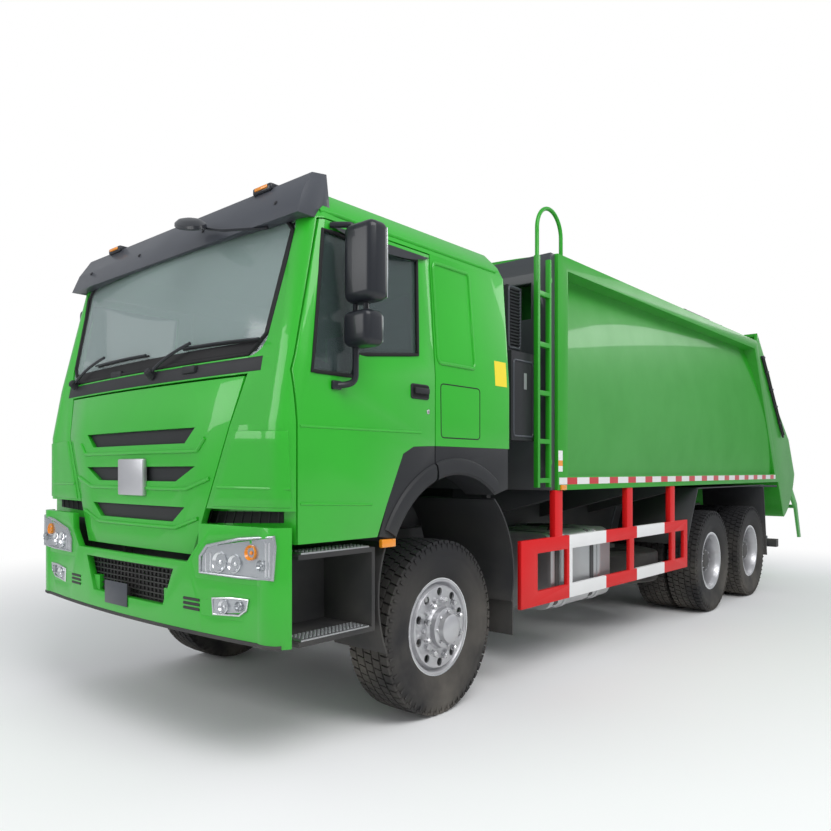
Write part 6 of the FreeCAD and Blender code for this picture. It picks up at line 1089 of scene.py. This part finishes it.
def swelled(obj):
    # the pad under air pressure, each point held within a short way of where it began
    cloth = obj.modifiers.new("cloth", "CLOTH")
    cloth.settings.quality = seatValues["quality"]
    cloth.settings.use_pressure = True
    cloth.settings.uniform_pressure_force = seatValues["pressure"]
    cloth.settings.effector_weights.gravity = 0
    for number in range(1, seatValues["frames"] + 1):
        scene.frame_set(number)
    before = [vert.co.copy() for vert in obj.data.vertices]
    after = evaluated(obj)
    for start, vert in zip(before, after.vertices):
        way = vert.co - start
        vert.co = start + way * min(1, seatValues["swell"] / max(way.length, 1e-6))
    obj.modifiers.clear()
    obj.data = after
    scene.frame_set(1)
    return obj


def channelled(obj, thin, along, lines, side):
    # sewn channels pressed into the open face across the pad
    for vert in obj.data.vertices:
        for line in lines:
            off = (vert.co[along] - line) / seatValues["channelWidth"]
            if abs(off) < 2.5:
                vert.co[thin] -= side * seatValues["channelDepth"] * math.exp(-off * off)
    return obj


def piping(name, obj, thin):
    # the sewn edge around a pad, laid on it at the middle of its thickness
    spots = [vert.co for vert in obj.data.vertices]
    low, high = (Vector([end(spot[axis] for spot in spots) for axis in range(3)]) for end in (min, max))
    tree = BVHTree.FromPolygons(spots, [p.vertices for p in obj.data.polygons])
    across, along = [axis for axis in range(3) if axis != thin]
    points = []
    for step in range(seatValues["pipingPoints"]):
        angle = 2 * math.pi * step / seatValues["pipingPoints"]
        way = Vector((0, 0, 0))
        way[across], way[along] = math.cos(angle), math.sin(angle)
        hit = tree.ray_cast((low + high) / 2 + way * 1.2, -way)[0]
        points.append(hit - way * seatValues["pipingInset"])
    return tube(name, "rubberSeal", points, seatValues["pipingRadius"], True, True, 2)


def pad(name, ends, thin, along, lines, side, taper=0.0):
    (low, high), x, half = ends, seatValues["x"], seatValues["half"]
    form = swelled(padForm("seat_" + name, (x - half, *low), (x + half, *high), thin, taper))
    channelled(form, thin, along, lines, side)
    return painted(form, "seatCloth"), piping(name + "_piping", form, thin)


pads = [pad("cushion", seatValues["cushion"], 2, 1, seatValues["cushionChannels"], 1)]
pads.append(pad("back", seatValues["back"], 1, 2, seatValues["backChannels"], -1, seatValues["taper"]))
x, top, floorZ = seatValues["x"], seatValues["cushion"][0][1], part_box("seats")[0].z + 0.002
baseForms = {
    "base": ((-0.17, -3.99, floorZ), (0.17, -3.53, top - 0.012), 0.012),
    "tray": ((-0.22, -4.02, top - 0.016), (0.22, -3.50, top - 0.001), 0.005),
    "hinge": ((-0.2, -3.56, top - 0.01), (0.2, -3.445, top + 0.02), 0.006),
}
bases = []
for side in (1, -1):
    for name, form in baseForms.items():
        bases.append(block(f"seat_{name}_{side}", "blackPlastic", *form, place=Vector((side * x, 0, 0))))
hard = settle(joined("seat_bases", bases), cabBody)
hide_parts("seats")
for pair in pads:
    for side in ("left", "right"):
        copies = []
        for source in pair:
            copies.append(link(bpy.data.objects.new(f"{source.name}_{side}", source.data.copy())))
            if side == "right":
                copies[-1].data.transform(Matrix.Translation((-2 * x, 0, 0)))
            settle(copies[-1], cabBody, 60)
        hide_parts("seats")
    for source in pair:
        bpy.data.objects.remove(source)
print("seats done")

# Wheels: nuts, hub covers and bright rim edges
wheelValues = {
    "studs": 10, "studRing": 0.1675, "nutRadius": 0.0165, "nutLength": 0.030, "hubStuds": 8, "hubRing": 0.1,
    "boltRadius": 0.009, "boltLength": 0.014, "frontDepth": 0.055, "driveDepth": 0.03, "edge": 0.2985,
    "sunk": 0.004,
    "band": ((-0.006, 0.0), (0.004, 0.0), (0.006, -0.004), (0.004, -0.012), (-0.006, -0.012)),
}
axleNodes = ("front_axle", "rear_axles", "knuckle_left", "knuckle_right")


def nut(name, radius, length):
    # a six-sided nut with a rounded crown, along X from the origin
    profile = [(-0.004, radius * 1.15), (0.004, radius * 1.15), (0.005, radius), (length * 0.8, radius)]
    profile += [(length, radius * 0.55), (length, radius * 0.05), (-0.004, radius * 0.05)]
    return spin(name, None, profile, origin, 6)


def nutRing(name, radius, length, ring, count, side, centre):
    stud = turned(nut(name, radius, length), origin, (side, 0, 0))
    stud.data.transform(Matrix.Translation((0, 0, ring)))
    return repeated(stud, ringRepeat, "steel", count, (2 * math.pi / count, 0, 0), centre)


def wheelTrim(name, rim, side, front):
    low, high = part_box(rim)
    middle = (low + high) / 2
    facing = (side, 0, 0)

    def outermost(y, z, names, lift=0.0):
        return onto((side * 2, middle.y + y, middle.z + z), (-side, 0, 0), names, lift).x

    value = wheelValues
    spot = outermost(value["studRing"], 0, (rim,))
    reach = outermost(0.02, 0.02, (rim, *axleNodes))
    base = max(abs(reach), abs(spot)) if front else abs(reach)
    depth = value["frontDepth"] if front else value["driveDepth"]
    cover = [(-0.05, 0.118), (0.006, 0.118), (0.012, 0.108), (0.014, 0.092), (depth * 0.8, 0.084)]
    cover += [(depth, 0.068), (depth + 0.004, 0.03), (depth + 0.004, 0.002), (-0.05, 0.002)]
    band = [(along, value["edge"] + drop) for along, drop in value["band"]]
    lip = outermost(value["edge"] - 0.006, 0, (rim,), -value["sunk"])
    return joined(name, [
        nutRing(name + "_nut", value["nutRadius"], value["nutLength"], value["studRing"], value["studs"], side,
                (spot, middle.y, middle.z)),
        disc(name + "_cover", "rim" if front else "chassis", cover, (side * base, middle.y, middle.z),
             facing, 40),
        nutRing(name + "_bolt", value["boltRadius"], value["boltLength"], value["hubRing"], value["hubStuds"],
                side, (side * (base + 0.012), middle.y, middle.z)),
        disc(name + "_edge", "chrome", band, (lip, middle.y, middle.z), facing, 64),
    ])


for side, sign, number in wheelPlaces:
    rim = wheelName("rim", side, number)
    trim = wheelTrim(rim.replace("rims", "rim").replace("rim", "trim"), rim, sign, not number)
    settle(trim, wheelName("wheel", side, number), 35)
print("wheels done")

# Steps: bright treads with rows of studs
stepValues = {
    "spots": ((340, 548), (345, 632)), "low": (1.10, -4.80, -0.003), "high": (1.226, -4.32, 0.009), "rows": 4,
    "studs": 17, "studStep": 0.026, "studSpot": (1.125, -4.77, 0.009), "studSize": (0.006, 0.004),
}
treads = []
for number, pixel in enumerate(stepValues["spots"]):
    level = Vector((0, 0, seen(pixel, ("cab_steps",)).z))
    ends = (stepValues["low"], stepValues["high"])
    treads.append(block(f"tread_{number}", "aluminium", *ends, place=level))
    for row in range(stepValues["rows"]):
        dot = turned(nut(f"tread_dot_{number}_{row}", *stepValues["studSize"]), origin, (0, 0, 1))
        step = stepValues["studStep"]
        start = level + Vector(stepValues["studSpot"]) + Vector((step * row, 0, 0))
        treads.append(repeated(dot, lineRepeat, "aluminium", stepValues["studs"], (0, step, 0), start))
both("step_treads", joined("step_tread_set", treads), truckBody)

# Body side: reflective tape, blank labels, a marker
bodyValues = {
    "tape": ((1262, 1407), (6930, 1407), (6930, 1357), (1262, 1357)), "tapeThick": 0.0012,
    "labels": ((1600, 70, "white"), (1530, 40, "amber"), (1490, 40, "white")), "labelEnds": (1250, 1312),
    "markerSpot": (1318, 1336), "marker": ((-0.006, -0.04, -0.018), (0.012, 0.04, 0.018)),
}
corners, thick = sideLine(1400, bodyValues["tape"]), bodyValues["tapeThick"]
both("body_tape", patch("tape_strip", "tape", corners, inward, ("body_shell",), (40, 1), thick), truckBody)
labels = []
start, stop = bodyValues["labelEnds"]
for number, (z, high, paint) in enumerate(bodyValues["labels"]):
    corners = sideLine(1400, ((start, z), (stop, z), (stop, z - high), (start, z - high)))
    labels.append(patch(f"label_{number}", paint, corners, inward, ("body_shell", "ladder"), (1, 1), 0.001))
spot = onto(at(1400, *bodyValues["markerSpot"]), inward, ("body_shell", "chassis_frame"))
labels.append(block("body_marker", "amber", *bodyValues["marker"], place=spot))
settle(joined("blank_labels", labels), truckBody)

# Air intake: louvres in a frame, and a lid with a blank label
intakeValues = {
    "spot": (860, 2500), "slat": ((-0.006, -0.066, -0.004), (0.010, 0.066, 0.006), 0.002), "slats": 18,
    "slatStep": 0.022, "slatDrop": 0.18, "frame": ((788, 2295), (932, 2295), (932, 2708), (788, 2708)),
    "lid": ((745, 1690), (1000, 1690), (1000, 2200), (745, 2200)), "frameRadius": 0.009, "lidRadius": 0.007,
    "label": ((880, 2120), (915, 2120), (915, 2010), (880, 2010)), "labelThick": 0.0015,
}
intakeNodes = ("air_intake",)
spot = onto(at(1500, *intakeValues["spot"]), inward, intakeNodes) - Vector((0, 0, intakeValues["slatDrop"]))
slat = block("louvre", None, *intakeValues["slat"])
repeated(slat, lineRepeat, "blackPlastic", intakeValues["slats"], (0, 0, intakeValues["slatStep"]), spot)
edge, lid, label = (sideLine(1500, intakeValues[key]) for key in ("frame", "lid", "label"))
settle(joined("intake_trim", [
    slat,
    ridge("louvre_frame", "greyPlastic", edge, inward, intakeNodes, intakeValues["frameRadius"], 4, True),
    ridge("intake_lid", "greyPlastic", lid, inward, intakeNodes, intakeValues["lidRadius"], 6, True),
    patch("intake_label", "aluminium", label, inward, intakeNodes, (1, 1), intakeValues["labelThick"]),
]), truckBody)

# Fuel tank: straps, cap and line
tankValues = {
    "straps": (1365, 1925), "width": 0.055, "steps": 44, "centre": (800, 720), "lifts": (-0.002, 0.005),
    "capSpot": (1040, 1560, 1000), "lineRadius": 0.009,
    "cap": ((-0.01, 0.052), (0.012, 0.052), (0.014, 0.046), (0.036, 0.045), (0.041, 0.038), (0.041, 0.002),
            (-0.01, 0.002)),
    "line": ((0, 0.11, -0.01), (0, 0.11, 0.03), (-0.12, 0.2, 0.035), (-0.35, 0.22, 0.02)),
}


def strap(name, y):
    # a flat band around the tank, laid on it from all sides
    x, z = tankValues["centre"]
    low, high = tankValues["lifts"]
    half = Vector((0, tankValues["width"] / 2, 0))
    points = []
    for k in range(tankValues["steps"]):
        angle = 2 * math.pi * k / tankValues["steps"]
        way = Vector((-math.cos(angle), 0, -math.sin(angle)))
        hit = surfaceOf("fuel_tank").ray_cast(at(x, y, z) - way * 1.5, way)[0]
        points += [hit - way * low - half, hit - way * high - half]
        points += [hit - way * high + half, hit - way * low + half]
    return rings(name, "chassis", points, 4, True)


tank = [strap(f"tank_strap_{y}", y) for y in tankValues["straps"]]
top = onto(at(*tankValues["capSpot"]), (0, 0, -1), ("fuel_tank",))
tank.append(disc("tank_cap", "blackPlastic", tankValues["cap"], top, (0, 0, 1), 28))
path = [top + Vector(place) for place in tankValues["line"]]
tank.append(tube("tank_line", "hose", path, tankValues["lineRadius"]))
settle(joined("tank_trim", tank), truckBody)
print("side done")

# Tailgate: grab handles, rigid lines with clips, and the rear lamps
gateValues = {
    "handle": ((7262, 2032), (7352, 2120), (7640, 1880), (7556, 1800)), "handleRadius": 0.013,
    "lines": ((6395, 2850), (6560, 2690), (6760, 2490), (6960, 2290), (7160, 2090), (7340, 1930)),
    "lineRadius": 0.0112, "lineLift": 0.014, "lineStep": 34,
    "clip": ((-0.004, -0.045, -0.014), (0.03, 0.045, 0.014)),
    "lamps": ((0.84, "redLens"), (0.93, "amber"), (1.02, "lampWhite")), "lampZ": 0.56,
    "lamp": ((-0.042, -0.004, -0.045), (0.042, 0.020, 0.045)),
}
gateNodes = ("tailgate_shell",)
handle = tube("grab_handle", "hose", sideLine(1195, gateValues["handle"]), gateValues["handleRadius"])
both("grab_handles", handle, gateBody)


def gateSpots(step, lift=0.0):
    return [onto(at(1500, y - step, z - step), inward, gateNodes, lift) for y, z in gateValues["lines"]]


lines = []
for number in (0, 1):
    path = gateSpots(gateValues["lineStep"] * number, gateValues["lineLift"])
    lines.append(tube(f"gate_line_{number}", "hose", path, gateValues["lineRadius"]))
for number, spot in enumerate(gateSpots(gateValues["lineStep"] / 2)[:-1]):
    lines.append(block(f"gate_clip_{number}", "chassis", *gateValues["clip"], 0.005, place=spot))
both("gate_lines", joined("gate_lines", lines), gateBody)
middle = gateValues["lamps"][1][0]
spot = onto((middle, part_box("chassis_frame")[1].y + 1, gateValues["lampZ"]), (0, -1, 0), ("chassis_frame",))
lampSet = []
for number, (x, paint) in enumerate(gateValues["lamps"]):
    place = Vector((x, spot.y, spot.z))
    lampSet.append(block(f"rear_lamp_{number}", paint, *gateValues["lamp"], 0.008, 3, place=place))
both("rear_lamps", joined("rear_lamps", lampSet), truckBody)

# Mudguards: pale edge strips along the visible rim of each guard
mudValues = {"edge": ((3850, 760), (4160, 1275), (6330, 1275)), "radius": 0.012}
mudNodes = ("rear_mudguards", "chassis_frame")
edge = sideLine(1400, mudValues["edge"])
strip = ridge("mud_edge", "greyPlastic", edge, inward, mudNodes, mudValues["radius"], 8, smooth=False)
both("mud_edges", strip, truckBody)
print("tailgate and mudguards done")

# Floor: pale ground that fades to white for the camera
reach = studio["floorReach"]
corners = [(-reach, -reach, 0), (reach, -reach, 0), (reach, reach, 0), (-reach, reach, 0)]
floor = meshObject("floor", corners, [(0, 1, 2, 3)])
material = bpy.data.materials.new("studioFloor")
material.use_nodes = True
tree = material.node_tree
make = maker(tree)
matt = feed(tree, tree.nodes["Principled BSDF"], {
    "Base Color": studio["floorColour"], "Roughness": studio["floorRough"],
    "Specular IOR Level": studio["floorSpecular"],
})
spot = make("ShaderNodeTexCoord").outputs["Object"]
distance = make("ShaderNodeVectorMath", {0: spot}, operation="LENGTH").outputs["Value"]
fade = make("ShaderNodeMapRange", {
    "Value": distance, "From Min": studio["fadeStart"], "From Max": studio["fadeEnd"],
}, interpolation_type="SMOOTHSTEP").outputs["Result"]
cameraRay = make("ShaderNodeLightPath").outputs["Is Camera Ray"]
glow = make("ShaderNodeEmission", {"Color": studio["white"], "Strength": 1.0})
share = calc(make, "MULTIPLY", cameraRay, fade)
mix = make("ShaderNodeMixShader", {0: share, 1: matt.outputs[0], 2: glow.outputs[0]})
feed(tree, tree.nodes["Material Output"], {"Surface": mix.outputs[0]})
floor.data.materials.append(material)
